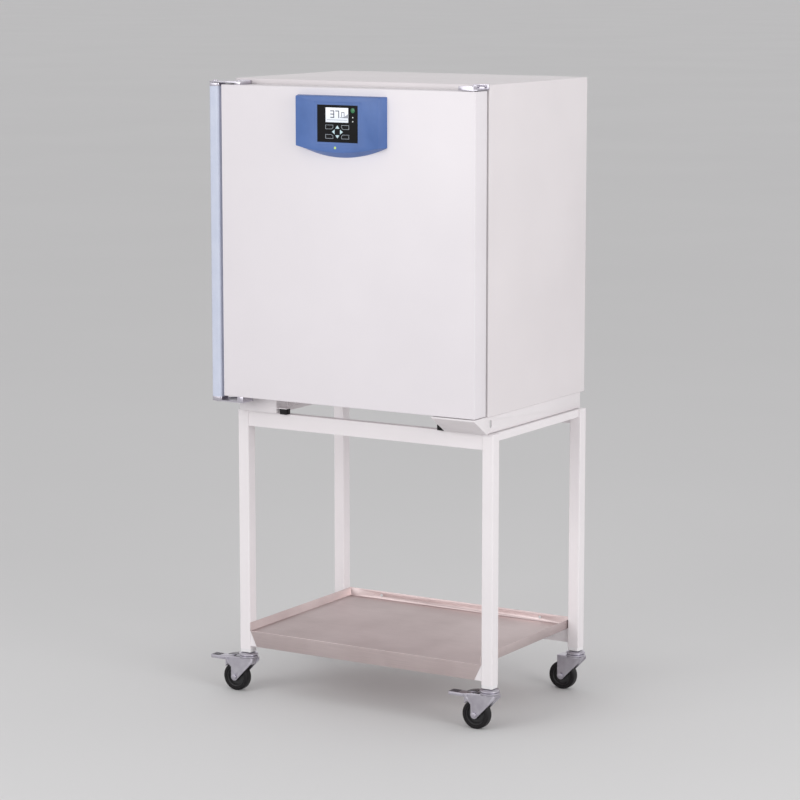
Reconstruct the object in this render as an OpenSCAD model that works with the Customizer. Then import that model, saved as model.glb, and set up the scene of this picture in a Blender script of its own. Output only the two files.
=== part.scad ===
// Laboratory incubator on a wheeled stand. Millimetres, +Z up, the door faces -Y.
// The pieces are laid out with Y = 0 on the cabinet's front face, X = 0 on its middle and Z = 0 on the
// floor; to_origin() then puts the middle of the whole object's footprint at the origin.

/* [Cabinet] */
// Width of the cabinet body
cabinet_w = 745; // [620:1:900]
// Depth of the cabinet body, without the door
cabinet_d = 511; // [430:1:700]
// Height of the cabinet body, without the base runners
cabinet_h = 817; // [680:1:1000]
// Thickness of the coated outer sheet
sheet_t = 1.5; // [1:0.1:3]
// Width of the sheet's return flange round the front opening
front_return = 30; // [20:1:36]
// Width of the sheet's return flange round the rear opening
rear_return = 22; // [15:1:40]
// Thickness of the rear panel
back_t = 1.2; // [0.8:0.1:3]

/* [Chamber] */
// Width inside the chamber
chamber_w = 540; // [450:1:560]
// Depth inside the chamber
chamber_d = 390; // [330:1:400]
// Height inside the chamber
chamber_h = 530; // [450:1:560]
// Distance from the cabinet's top to the chamber's roof
chamber_roof = 120; // [90:1:140]
// Thickness of the stainless liner
liner_t = 1.2; // [0.8:0.1:2]
// Depth of the recess that holds the glass door
recess_d = 12; // [11:0.5:16]
// Width of the recess beyond the chamber's opening
recess_margin = 26; // [24:1:30]
// Height of each shelf above the chamber's floor
shelf_heights = [185, 355];
// Height of the perforated floor plate above the chamber's floor
floor_plate_h = 34; // [28:1:60]

/* [Base runners] */
// Height of the runners under the cabinet
runner_h = 43; // [36:1:60]
// Width of each runner
runner_w = 113; // [90:1:150]
// How far the runners stop short of the cabinet's rear
runner_setback = 15; // [0:1:40]
// Sheet thickness of the runners
runner_t = 2; // [1:0.1:3]
// Width of the lip that carries the rubber feet
foot_w = 20; // [16:1:40]
// Height of the rubber feet
foot_h = 15; // [10:1:25]

/* [Stand] */
// Outer width of the stand
stand_w = 763; // [640:1:950]
// Outer depth of the stand
stand_d = 493; // [420:1:700]
// How far the stand's front is behind the cabinet's front
stand_setback = 11; // [0:1:40]
// Length of the legs
leg_h = 638; // [400:1:800]
// Side of the square leg tube
leg_side = 32; // [25:1:40]
// Wall of the leg tube and rails
tube_wall = 2; // [1:0.1:3]
// Height of the front, rear and tray rails
long_rail_h = 40; // [30:1:50]
// Height of the side rails
side_rail_h = 20; // [15:1:40]
// Depth of every rail
rail_d = 20; // [15:1:25]
// Height of the tray rails above the legs' lower ends
tray_rail_rise = 10; // [4:1:200]

/* [Tray] */
// Height of the tray's rims above its floor
tray_rim_h = 23.5; // [12:0.5:60]
// Sheet thickness of the tray
tray_t = 1.5; // [1:0.1:2]
// Height of the flange that hangs over the front rail
tray_flange_h = 40; // [15:1:44]
// Slant of the front flange's ends
tray_flange_slant = 20; // [0:1:30]

/* [Castors] */
// Height from the floor to the legs' lower ends
castor_h = 118; // [114:1:126]
// Diameter of the castor wheels
wheel_dia = 75; // [70:1:76]
// Width of the castor wheels
wheel_w = 24; // [18:1:26]
// Distance from the swivel axis to the wheel axle
castor_trail = 36; // [30:1:38]
// Diameter of the swivel head
head_dia = 52; // [46:1:60]
// Diameter of the wheel axle
axle_dia = 8; // [6:0.5:10]
// Length of the brake pedal from the swivel axis
pedal_reach = 113; // [100:1:130]

/* [Outer door] */
// Thickness of the outer door
door_t = 57; // [50:1:70]
// Gap between the door and the cabinet
door_gap = 9; // [8:0.5:14]
// Distance from the cabinet's side to the door's side
door_side_margin = 1; // [0:0.5:5]
// Distance from the cabinet's top to the door's top
door_top_margin = 14.5; // [14:0.5:30]
// Distance from the cabinet's bottom to the door's bottom
door_bottom_margin = 5; // [3:0.5:15]
// Distance from the door's right edge to the hinge axis
hinge_inset = 19.5; // [16:0.5:22]
// Diameter of the hinge pins
hinge_pin_dia = 10; // [8:0.5:10]

/* [Handle] */
// Width of the handle profile
handle_w = 29.5; // [25:0.5:32]
// Depth of the handle profile
handle_d = 38; // [34:0.5:42]
// Gap for the fingers between handle and door
finger_gap = 9; // [8:0.5:20]
// How far the handle reaches below the door
handle_below = 12; // [11:0.5:20]
// How far the handle reaches above the door
handle_above = 3.5; // [3.4:0.1:4]

/* [Controls] */
// Width of the control housing where it meets the door
housing_w = 262; // [220:1:320]
// Height of the control housing at its sides
housing_h = 125; // [110:1:160]
// How far the housing stands out of the door
housing_d = 25; // [18:1:40]
// Distance from the door's top to the housing's top
housing_drop = 19; // [10:1:60]
// Width of the keypad panel
panel_w = 118; // [110:1:150]
// Height of the keypad panel
panel_h = 92; // [90:1:105]
// Travel of each key
key_travel = 0.5; // [0.3:0.1:0.6]

/* [Hidden] */
$fn = 64;

// Clearances
run_fit = 0.05;
loose = 0.5;
panel_fit = 0.3;
key_fit = 0.4;
eps = 1;

// Heights from the floor
leg_z0 = castor_h;
leg_z1 = leg_z0 + leg_h;
body_z0 = leg_z1 + runner_h;
body_z1 = body_z0 + cabinet_h;
chamber_z1 = body_z1 - chamber_roof;
chamber_z0 = chamber_z1 - chamber_h;
door_z0 = body_z0 + door_bottom_margin;
door_z1 = body_z1 - door_top_margin;

// Places in plan
half_w = cabinet_w / 2;
stand_y0 = stand_setback;
stand_y1 = stand_y0 + stand_d;
leg_x = stand_w / 2 - leg_side / 2;
leg_ys = [stand_y0 + leg_side / 2, stand_y1 - leg_side / 2];
rail_set = 2;
runner_y1 = cabinet_d - runner_setback;
chamber_y0 = recess_d;
chamber_y1 = chamber_y0 + chamber_d;
door_x = half_w - door_side_margin;
door_y1 = -door_gap;
door_y0 = door_y1 - door_t;
hinge_x = door_x - hinge_inset;
hinge_y = door_y0 + 20;

// Stainless front flange of the liner, inside the sheet's front opening
flange_lap = 12;
flange_x = half_w - front_return + flange_lap;
flange_z0 = body_z0 + front_return - flange_lap;
flange_z1 = body_z1 - front_return + flange_lap;
flange_y1 = sheet_t + liner_t;
recess_x = chamber_w / 2 + recess_margin;
recess_z0 = chamber_z0 - recess_margin;
recess_z1 = chamber_z1 + recess_margin;

// Exhaust pipe, through the rear wall near the chamber's roof
pipe_r = 19;
pipe_wall = 2;
pipe_proud = 42;
pipe_z = chamber_z1 - 50;
pipe_y1 = cabinet_d + back_t + pipe_proud;
flap_y = cabinet_d + back_t + 12;
bead_y = flap_y + 8;
bead_t = 2;
flap_shaft_r = 2;

// Mains inlet, low on the rear panel
inlet_x = -half_w + 110;
inlet_z = body_z0 + 62;
inlet_w = 48;
inlet_h = 24;
inlet_deep = 22;

// Insulation stops short of the front flange and of the wiring space behind it
wool_y0 = recess_d + liner_t + 1;
wool_y1 = cabinet_d - 34;

// Gasket ring on the door
gasket_w = 18;
gasket_inset = 31;
gasket_squash_gap = 0.6;

// Glass door in the recess
glass_t = 5;
glass_y0 = 4;
glass_pin_r = 2;
glass_axis_x = recess_x - 8;
glass_axis_y = 4;
glass_x0 = -recess_x + 8;
glass_x1 = glass_axis_x - 8;
glass_z0 = recess_z0 + 4;
glass_z1 = recess_z1 - 4;
clip_h = 30;
clip_inset = 60;
clip_zs = [glass_z0 + clip_inset, glass_z1 - clip_inset - clip_h];

// Handle, turning on two pintles screwed to the door
handle_x1 = -door_x - finger_gap;
handle_x0 = handle_x1 - handle_w;
handle_y0 = door_y0;
handle_y1 = handle_y0 + handle_d;
handle_z0 = door_z0 - handle_below;
handle_z1 = door_z1 + handle_above;
handle_wall = 3;
cap_h = 8;
handle_pivot_x = handle_x0 + 8;
handle_pivot_y = handle_y0 + handle_d / 2;
handle_pin_r = 4;
pintle_t = 3;
pintle_gap = 0.8;
pintle_x1 = -door_x + 56;
hook_t = 2.6;
keeper_x0 = -door_x + 12;
keeper_w = 36;
keeper_d = 8;

// Control housing and keypad
control_x = -6.5;
housing_z1 = door_z1 - housing_drop;
housing_y0 = door_y0 - housing_d;
housing_draft = 10;
chin_base = 28;
chin_front = 14;
housing_wall = 3.5;
panel_t = 2;
panel_z1 = housing_z1 - 22;
panel_x0 = control_x - panel_w / 2;
key_t = 2.2;
key_proud = 0.5;
lcd_w = 66;
lcd_h = 36;
lcd_drop = 6.5;
lcd_x0 = control_x - lcd_w / 2 - 1;
pad_drop = 66;
arrow_reach = 12;
arrow_w = 12;
arrow_h = 8;
soft_w = 22.5;
soft_h = 10.5;
soft_x = 12;
soft_z = 6.5;
soft_chamfer = 4;
power_x = control_x + panel_w / 2 - 14;
power_drop = 12.5;
power_r = 6;

// Castors
wheel_r = wheel_dia / 2;
axle_r = axle_dia / 2;
fork_gap = wheel_w / 2 + 2;
fork_t = 2.5;
head_z0 = castor_h - 24;
head_z1 = castor_h - 9;
crown_z1 = head_z0 - loose;
crown_z0 = crown_z1 - 3;
crown_nose_x = 23;
kingpin_r = 5;
tread_gap = 3.2;
brake_x = -castor_trail - 22;
brake_z = crown_z0 - 5.5;
brake_pin_r = 2.5;

// Middle of the footprint, from the outermost pieces
x_min = -leg_x - pedal_reach;
x_max = leg_x + head_dia / 2;
y_min = min(housing_y0 - key_proud, door_y0);
y_max = pipe_y1;
mid_x = (x_min + x_max) / 2;
mid_y = (y_min + y_max) / 2;

module to_origin() translate([-mid_x, -mid_y, 0]) children();

// A box between two corners
module box(a, b) translate(a) cube(b - a);

// A rectangle with true round corners, centred
module round_rect(w, d, r) {
  square([w - 2 * r, d], center = true);
  square([w, d - 2 * r], center = true);
  for (sx = [-1, 1], sy = [-1, 1])
    translate([sx * (w / 2 - r), sy * (d / 2 - r)]) circle(r);
}

// A rounded-corner bar standing along Z between two heights
module round_bar(x0, x1, y0, y1, z0, z1, r) {
  translate([(x0 + x1) / 2, (y0 + y1) / 2, z0])
    linear_extrude(z1 - z0) round_rect(x1 - x0, y1 - y0, r);
}

// A cylinder along +Y, starting at a point
module rod_y(at, r, len) translate(at) rotate([-90, 0, 0]) cylinder(h = len, r = r);

// A cylinder along +X, starting at a point
module rod_x(at, r, len) translate(at) rotate([0, 90, 0]) cylinder(h = len, r = r);

// A profile drawn in X and Z, extruded along +Y from y0
module plate_xz(y0, len) translate([0, y0 + len, 0]) rotate([90, 0, 0]) linear_extrude(len) children();

// A profile drawn in Y and Z, extruded along +X from x0
module plate_yz(x0, len) {
  translate([x0, 0, 0]) rotate([90, 0, 90]) linear_extrude(len) children();
}

// ---- Stand ----

// Four square tubes, closed at the top
module stand_legs() color("whitesmoke") to_origin() {
  for (sx = [-1, 1], y = leg_ys)
    translate([sx * leg_x, y, leg_z0])
      difference() {
        linear_extrude(leg_h) round_rect(leg_side, leg_side, 3);
        translate([-leg_side / 2 + tube_wall, -leg_side / 2 + tube_wall, -eps])
          cube([leg_side - 2 * tube_wall, leg_side - 2 * tube_wall, leg_h - tube_wall + eps]);
      }
}

// Rectangular tube along X between the legs
module long_rail(y0, z0) {
  x1 = leg_x - leg_side / 2;
  difference() {
    box([-x1, y0, z0], [x1, y0 + rail_d, z0 + long_rail_h]);
    box([-x1 - eps, y0 + tube_wall, z0 + tube_wall],
        [x1 + eps, y0 + rail_d - tube_wall, z0 + long_rail_h - tube_wall]);
  }
}

// Two top rails and two lower rails that carry the tray
module stand_long_rails() color("whitesmoke") to_origin() {
  long_rail(stand_y0 + rail_set, leg_z1 - long_rail_h);
  long_rail(stand_y1 - rail_set - rail_d, leg_z1 - long_rail_h);
  long_rail(stand_y0 + rail_set, leg_z0 + tray_rail_rise);
  long_rail(stand_y1 - rail_set - rail_d, leg_z0 + tray_rail_rise);
}

module stand_side_rails() color("whitesmoke") to_origin() {
  for (sx = [-1, 1])
    difference() {
      box([sx * leg_x - rail_d / 2, stand_y0 + leg_side, leg_z1 - side_rail_h],
          [sx * leg_x + rail_d / 2, stand_y1 - leg_side, leg_z1]);
      box([sx * leg_x - rail_d / 2 + tube_wall, stand_y0 + leg_side - eps,
          leg_z1 - side_rail_h + tube_wall],
          [sx * leg_x + rail_d / 2 - tube_wall, stand_y1 - leg_side + eps, leg_z1 - tube_wall]);
    }
}

plug_flange = 8;
plug_deep = 30;
stem_r = 5.5;

// Plastic plugs in the legs' lower ends, bored for the castor stems
module leg_plugs() color("white") to_origin() {
  for (sx = [-1, 1], y = leg_ys)
    translate([sx * leg_x, y, leg_z0])
      difference() {
        union() {
          translate([0, 0, -plug_flange]) linear_extrude(plug_flange) round_rect(leg_side, leg_side, 5);
          translate([-leg_side / 2 + tube_wall, -leg_side / 2 + tube_wall, 0])
            cube([leg_side - 2 * tube_wall, leg_side - 2 * tube_wall, plug_deep]);
        }
        translate([0, 0, -plug_flange - eps]) cylinder(h = plug_flange + plug_deep + 2 * eps,
            r = stem_r);
      }
}

tray_x = leg_x - leg_side / 2 - loose;
tray_y0 = stand_y0 + rail_set - tray_t;
tray_y1 = stand_y1 + rail_set;
tray_z0 = leg_z0 + tray_rail_rise + long_rail_h;
tray_hole_r = 4;
tray_hole_x = 248;

// Folded stainless tray: three rims up, the front edge down over the rail
module storage_tray() color("silver") to_origin() {
  difference() {
    union() {
      box([-tray_x, tray_y0, tray_z0], [tray_x, tray_y1, tray_z0 + tray_t]);
      for (sx = [-1, 1])
        box([sx * (tray_x - tray_t / 2) - tray_t / 2, tray_y0, tray_z0],
            [sx * (tray_x - tray_t / 2) + tray_t / 2, tray_y1, tray_z0 + tray_rim_h]);
      box([-tray_x, tray_y1 - tray_t, tray_z0], [tray_x, tray_y1, tray_z0 + tray_rim_h]);
      plate_xz(tray_y0, tray_t)
        polygon([[-tray_x, tray_z0 + tray_t], [tray_x, tray_z0 + tray_t],
                 [tray_x - tray_flange_slant, tray_z0 - tray_flange_h],
                 [-tray_x + tray_flange_slant, tray_z0 - tray_flange_h]]);
    }
    for (sx = [-1, 1])
      rod_y([sx * tray_hole_x, tray_y1 - tray_t - eps, tray_z0 + tray_rim_h / 2], tray_hole_r,
          tray_t + 2 * eps);
  }
}

// ---- Castors ----

// Swivel heads with stem, nut and riveted kingpin
module castor_heads() color("silver") to_origin() {
  for (sx = [-1, 1], y = leg_ys)
    translate([sx * leg_x, y, 0]) {
      translate([0, 0, head_z1 - eps]) cylinder(h = leg_z0 + plug_deep - 4 - head_z1 + eps, r = stem_r);
      translate([0, 0, head_z1 - eps]) cylinder(h = leg_z0 - plug_flange - head_z1 + eps, r = 10,
          $fn = 6);
      rotate_extrude()
        difference() {
          union() {
            translate([0, head_z0]) square([head_dia / 2, 10]);
            translate([0, head_z0]) square([head_dia / 2 - 5, head_z1 - head_z0]);
            translate([head_dia / 2 - 5, head_z1 - 5]) circle(5);
          }
          translate([-20, head_z0 - eps]) square([20, 30]);
        }
      translate([0, 0, crown_z0 - loose]) cylinder(h = head_z0 - crown_z0 + loose + eps, r = kingpin_r);
      translate([0, 0, crown_z0 - loose - 3]) cylinder(h = 3, r = 9);
    }
}

// Stamped fork: crown plate with two cheeks
module castor_fork(sx, y, braked) {
  rear_x = braked ? -20 - castor_trail / 2 : -castor_trail - axle_r - 6;
  translate([sx * leg_x, y, 0])
    difference() {
      union() {
        translate([0, 0, crown_z0]) cylinder(h = crown_z1 - crown_z0, r = head_dia / 2 - 2);
        box([rear_x, -fork_gap - fork_t, crown_z0],
            [crown_nose_x, fork_gap + fork_t, crown_z1]);
        for (sy = [-1, 1])
          plate_xz(sy * (fork_gap + fork_t / 2) - fork_t / 2, fork_t) {
            translate([-castor_trail, wheel_r]) circle(axle_r + 6);
            if (braked) translate([brake_x, brake_z]) circle(6);
            polygon(concat(
              [[crown_nose_x, crown_z1], [crown_nose_x, crown_z0 - 6], [-castor_trail + 8.5, wheel_r - 5],
               [-castor_trail - 9.4, wheel_r + 3]],
              braked ? [[-castor_trail - 10, wheel_r + 26], [brake_x - 5, brake_z - 4],
                        [brake_x - 4, brake_z + 5]] : [],
              [[rear_x, crown_z1]]));
          }
      }
      translate([0, 0, crown_z0 - eps]) cylinder(h = 3 + 2 * eps, r = kingpin_r + run_fit);
      rod_y([-castor_trail, -30, wheel_r], axle_r, 60);
      if (braked) rod_y([brake_x, -30, brake_z], brake_pin_r + run_fit, 60);
    }
}

module castor_fork_fl() color("silver") to_origin() castor_fork(-1, leg_ys[0], true);
module castor_fork_fr() color("silver") to_origin() castor_fork(1, leg_ys[0], true);
module castor_fork_rl() color("silver") to_origin() castor_fork(-1, leg_ys[1], false);
module castor_fork_rr() color("silver") to_origin() castor_fork(1, leg_ys[1], false);

axle_head_r = 7;
axle_head_t = 3.5;

// Axle bolt with a head and a nut against the fork's cheeks
module castor_axle(sx, y) {
  half = fork_gap + fork_t;
  translate([sx * leg_x - castor_trail, y, wheel_r]) {
    rod_y([0, -half, 0], axle_r, 2 * half);
    rod_y([0, -half - axle_head_t, 0], axle_head_r, axle_head_t);
    translate([0, half + axle_head_t, 0]) rotate([90, 0, 0]) cylinder(h = axle_head_t,
        r = axle_head_r, $fn = 6);
  }
}

module castor_axle_fl() color("silver") to_origin() castor_axle(-1, leg_ys[0]);
module castor_axle_fr() color("silver") to_origin() castor_axle(1, leg_ys[0]);
module castor_axle_rl() color("silver") to_origin() castor_axle(-1, leg_ys[1]);
module castor_axle_rr() color("silver") to_origin() castor_axle(1, leg_ys[1]);

tread_round = 5;
tyre_t = 11;
hub_r = 12;
web_w = 8;

// Rubber-tyred wheel, turning on the axle
module castor_wheel(sx, y) {
  translate([sx * leg_x - castor_trail, y, wheel_r])
    rotate([-90, 0, 0])
      rotate_extrude() {
        translate([wheel_r - tyre_t, -wheel_w / 2]) square([tyre_t - tread_round, wheel_w]);
        translate([wheel_r - tread_round, -wheel_w / 2 + tread_round]) square([tread_round,
            wheel_w - 2 * tread_round]);
        for (s = [-1, 1])
          translate([wheel_r - tread_round, s * (wheel_w / 2 - tread_round)]) circle(tread_round);
        translate([hub_r - eps, -web_w / 2]) square([wheel_r - tyre_t - hub_r + 2 * eps, web_w]);
        translate([axle_r + run_fit, -wheel_w / 2 - 1]) square([hub_r - axle_r - run_fit, wheel_w + 2]);
      }
}

module castor_wheel_fl() color("dimgray") to_origin() castor_wheel(-1, leg_ys[0]);
module castor_wheel_fr() color("dimgray") to_origin() castor_wheel(1, leg_ys[0]);
module castor_wheel_rl() color("dimgray") to_origin() castor_wheel(-1, leg_ys[1]);
module castor_wheel_rr() color("dimgray") to_origin() castor_wheel(1, leg_ys[1]);

pedal_half_w = 15;
pedal_t = 8;
shoe_w = 16;

// Brake pedal on a cross pin between the fork's cheeks, with a shoe above the tread
module castor_brake(sx, y) {
  translate([sx * leg_x, y, 0]) {
    rod_y([brake_x, -fork_gap - fork_t - 1.5, brake_z], brake_pin_r, 2 * (fork_gap + fork_t + 1.5));
    box([brake_x - 12, -fork_gap + 1, brake_z - pedal_t / 2],
        [brake_x + 6, fork_gap - 1, brake_z + pedal_t / 2]);
    round_bar(-pedal_reach, brake_x - 8, -pedal_half_w, pedal_half_w,
              brake_z - pedal_t / 2, brake_z + pedal_t / 2, 5);
    difference() {
      box([brake_x - 11, -shoe_w / 2, wheel_r + 20], [brake_x - 2, shoe_w / 2, brake_z]);
      rod_y([-castor_trail, -shoe_w, wheel_r], wheel_r + tread_gap, 2 * shoe_w);
    }
  }
}

module castor_brake_fl() color("silver") to_origin() castor_brake(-1, leg_ys[0]);
module castor_brake_fr() color("silver") to_origin() castor_brake(1, leg_ys[0]);

// ---- Cabinet ----

// Places of the back panel's screws
screw_inset = 15;
function back_screws() = [
  for (x = [-half_w + screw_inset, 0, half_w - screw_inset],
       z = [body_z0 + screw_inset, body_z1 - screw_inset]) [x, z],
  for (x = [-half_w + screw_inset, half_w - screw_inset],
       f = [1 / 3, 2 / 3]) [x, body_z0 + cabinet_h * f]
];
screw_r = 2;
screw_head_r = 4;
screw_head_t = 2;

// Wrapped outer sheet with returns at the front and the rear
module cabinet_shell() color("gainsboro") to_origin() {
  difference() {
    box([-half_w, 0, body_z0], [half_w, cabinet_d, body_z1]);
    box([-half_w + sheet_t, sheet_t, body_z0 + sheet_t],
        [half_w - sheet_t, cabinet_d - sheet_t, body_z1 - sheet_t]);
    box([-half_w + front_return, -eps, body_z0 + front_return],
        [half_w - front_return, sheet_t + eps, body_z1 - front_return]);
    box([-half_w + rear_return, cabinet_d - sheet_t - eps, body_z0 + rear_return],
        [half_w - rear_return, cabinet_d + eps, body_z1 - rear_return]);
    for (p = back_screws()) rod_y([p[0], cabinet_d - sheet_t - eps, p[1]], screw_r, sheet_t + 2 * eps);
  }
}

vent_w = 60;
vent_h = 5;

// Rear panel with cooling slots behind the electronics
module cabinet_back() color("gainsboro") to_origin() {
  inset = 6;
  difference() {
    box([-half_w + inset, cabinet_d, body_z0 + inset],
        [half_w - inset, cabinet_d + back_t, body_z1 - inset]);
    for (p = back_screws()) rod_y([p[0], cabinet_d - eps, p[1]], screw_r, back_t + 2 * eps);
    rod_y([0, cabinet_d - eps, pipe_z], pipe_r, back_t + 2 * eps);
    box([inlet_x - inlet_w / 2, cabinet_d - eps, inlet_z - inlet_h / 2],
        [inlet_x + inlet_w / 2, cabinet_d + back_t + eps, inlet_z + inlet_h / 2]);
    for (i = [0:5], x = [half_w - 180, half_w - 100])
      box([x - vent_w / 2, cabinet_d - eps, body_z0 + 50 + i * 14],
          [x + vent_w / 2, cabinet_d + back_t + eps, body_z0 + 50 + vent_h + i * 14]);
  }
}

runner_x1 = half_w - 5.5;
runner_x0 = runner_x1 - runner_w;
lip_x = 31;
lip_t = 2;
lip_len = 24;
louvre_w = 6;
louvre_h = 18;
louvre_y = 40;
foot_lift = 2;

// Two channels under the cabinet, open below, with a lip for each rubber foot
module base_runners() color("whitesmoke") to_origin() {
  for (sx = [-1, 1])
    scale([sx, 1, 1])
      difference() {
        union() {
          box([runner_x0, 0, leg_z1 + foot_lift], [runner_x1, runner_y1, body_z0]);
          for (y = [0, runner_y1 - lip_len])
            box([runner_x0 - lip_x, y, leg_z1 + foot_h],
                [runner_x0 + eps, y + lip_len, leg_z1 + foot_h + lip_t]);
        }
        box([runner_x0 + runner_t, runner_t, leg_z1 - eps],
            [runner_x1 - runner_t, runner_y1 - runner_t, body_z0 - runner_t]);
        for (i = [0:8])
          box([runner_x0 - eps, louvre_y + i * 12, leg_z1 + 12],
              [runner_x0 + runner_t + eps, louvre_y + louvre_w + i * 12, leg_z1 + 12 + louvre_h]);
        plate_yz(runner_x1 - runner_t - eps, runner_t + 2 * eps) {
          translate([23, leg_z1 + 20]) circle(5);
          translate([23, leg_z1 + 30]) circle(5);
          translate([18, leg_z1 + 20]) square([10, 10]);
        }
      }
}

module rubber_feet() color("dimgray") to_origin() {
  for (sx = [-1, 1], y = [2, runner_y1 - 22])
    scale([sx, 1, 1])
      box([runner_x0 - lip_x + 2, y, leg_z1], [runner_x0 - lip_x + 2 + foot_w, y + 20, leg_z1 + foot_h]);
}

heater_r = 4;
heater_x = 200;
heater_z = chamber_z0 + 16;
heater_bend = 30;
probe_x = 190;
probe_r = 3;

// Stainless liner: front flange, recess for the glass door, and the chamber
module chamber_liner() color("lightgray") to_origin() {
  difference() {
    union() {
      box([-flange_x, sheet_t, flange_z0], [flange_x, flange_y1, flange_z1]);
      box([-recess_x - liner_t, sheet_t, recess_z0 - liner_t],
          [recess_x + liner_t, recess_d + liner_t, recess_z1 + liner_t]);
      box([-chamber_w / 2 - liner_t, recess_d, chamber_z0 - liner_t],
          [chamber_w / 2 + liner_t, chamber_y1 + liner_t, chamber_z1 + liner_t]);
    }
    box([-recess_x, -eps, recess_z0], [recess_x, recess_d, recess_z1]);
    box([-chamber_w / 2, 0, chamber_z0], [chamber_w / 2, chamber_y1, chamber_z1]);
    rod_y([0, chamber_y1 - eps, pipe_z], pipe_r, liner_t + 2 * eps);
    rod_y([probe_x, chamber_y1 - eps, pipe_z], probe_r, liner_t + 2 * eps);
    for (sx = [-1, 1]) rod_y([sx * heater_x, chamber_y1 - eps, heater_z], heater_r, liner_t + 2 * eps);
  }
}

// Mineral wool round the liner
module insulation() color("khaki") to_origin() {
  gap = sheet_t + 1;
  difference() {
    box([-half_w + gap, wool_y0, body_z0 + gap], [half_w - gap, wool_y1, body_z1 - gap]);
    box([-chamber_w / 2 - liner_t, wool_y0 - eps, chamber_z0 - liner_t],
        [chamber_w / 2 + liner_t, chamber_y1 + liner_t, chamber_z1 + liner_t]);
    rod_y([0, chamber_y1, pipe_z], pipe_r + loose, cabinet_d);
    rod_y([probe_x, chamber_y1, pipe_z], probe_r + loose, cabinet_d);
    for (sx = [-1, 1]) rod_y([sx * heater_x, chamber_y1, heater_z], heater_r + loose, cabinet_d);
  }
}

plate_hole_r = 7;

// Perforated plate over the heater, standing on its folded sides
module chamber_floor_plate() color("silver") to_origin() {
  x1 = chamber_w / 2 - 2;
  z1 = chamber_z0 + floor_plate_h;
  difference() {
    union() {
      box([-x1, chamber_y0 + 4, z1 - 1.5], [x1, chamber_y1 - 4, z1]);
      for (sx = [-1, 1])
        box([sx * (x1 - 0.75) - 0.75, chamber_y0 + 4, chamber_z0],
            [sx * (x1 - 0.75) + 0.75, chamber_y1 - 4, z1]);
    }
    for (ix = [-4:4], iy = [-2:2])
      translate([ix * chamber_w / 10, (chamber_y0 + chamber_y1) / 2 + iy * chamber_d / 6, z1 - 3])
        cylinder(h = 5, r = plate_hole_r);
  }
}

// One bent tubular element under the floor plate, its ends through the rear wall
module heating_element() color("dimgray") to_origin() {
  y0 = chamber_y0 + 50 + heater_bend;
  for (sx = [-1, 1]) {
    rod_y([sx * heater_x, y0, heater_z], heater_r, chamber_y1 + 30 - y0);
    translate([sx * (heater_x - heater_bend), y0, heater_z])
      rotate([0, 0, sx == 1 ? -90 : 180])
        rotate_extrude(angle = 90) translate([heater_bend, 0]) circle(heater_r);
  }
  rod_x([-heater_x + heater_bend, y0 - heater_bend, heater_z], heater_r, 2 * (heater_x - heater_bend));
}

module temperature_probe() color("silver") to_origin() {
  rod_y([probe_x, chamber_y1 - 60, pipe_z], probe_r, 60 + 30);
  rod_y([probe_x, chamber_y1 - 4, pipe_z], 8, 4);
}

ladder_w = 14;
ladder_t = 3;
ledge_w = 12;
ladder_ys = [chamber_y0 + 60, chamber_y1 - 60];

// Side racks: two uprights and one ledge per shelf on each side
module shelf_ladders() color("silver") to_origin() {
  for (sx = [-1, 1])
    scale([sx, 1, 1]) {
      for (y = ladder_ys)
        box([chamber_w / 2 - ladder_t, y - ladder_w / 2, chamber_z0 + floor_plate_h + 10],
            [chamber_w / 2, y + ladder_w / 2, chamber_z1 - 30]);
      for (h = shelf_heights)
        box([chamber_w / 2 - ladder_t - ledge_w, ladder_ys[0] - 40, chamber_z0 + h - 3],
            [chamber_w / 2 - ladder_t + 1, ladder_ys[1] + 40, chamber_z0 + h]);
    }
}

shelf_bar = 6;
wire_r = 1.5;
wires = 17;

// Wire shelves lying on the ledges
module wire_shelves() color("silver") to_origin() {
  x1 = chamber_w / 2 - ladder_t - 1;
  y0 = ladder_ys[0] - 36;
  y1 = ladder_ys[1] + 36;
  for (h = shelf_heights)
    translate([0, 0, chamber_z0 + h]) {
      for (x = [-x1, x1 - shelf_bar]) box([x, y0, 0], [x + shelf_bar, y1, shelf_bar]);
      for (y = [y0, y1 - shelf_bar]) box([-x1, y, 0], [x1, y + shelf_bar, shelf_bar]);
      for (i = [1:wires])
        rod_y([-x1 + i * 2 * x1 / (wires + 1), y0 + 3, shelf_bar], wire_r, y1 - y0 - 6);
    }
}

// Exhaust pipe through the liner, the wool and the rear panel
module exhaust_pipe() color("silver") to_origin() {
  difference() {
    union() {
      rod_y([0, chamber_y1, pipe_z], pipe_r, pipe_y1 - chamber_y1);
      rod_y([0, cabinet_d + back_t, pipe_z], pipe_r + 7, 2);
      rod_y([0, bead_y, pipe_z], pipe_r + 2, bead_t);
    }
    rod_y([0, chamber_y1 - eps, pipe_z], pipe_r - pipe_wall, pipe_y1 - chamber_y1 + 2 * eps);
    translate([0, flap_y, pipe_z - 30]) cylinder(h = 60, r = flap_shaft_r + run_fit);
  }
}

knob_r = 7;

// Vent flap on a vertical shaft with a knob above the pipe
module exhaust_flap() color("dimgray") to_origin() {
  rod_y([0, flap_y - 0.75, pipe_z], pipe_r - pipe_wall - key_fit, 1.5);
  translate([0, flap_y, pipe_z - pipe_r - 3]) cylinder(h = 2 * pipe_r + 6, r = flap_shaft_r);
  translate([0, flap_y, pipe_z + pipe_r + loose]) cylinder(h = 9, r = knob_r);
}

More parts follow.
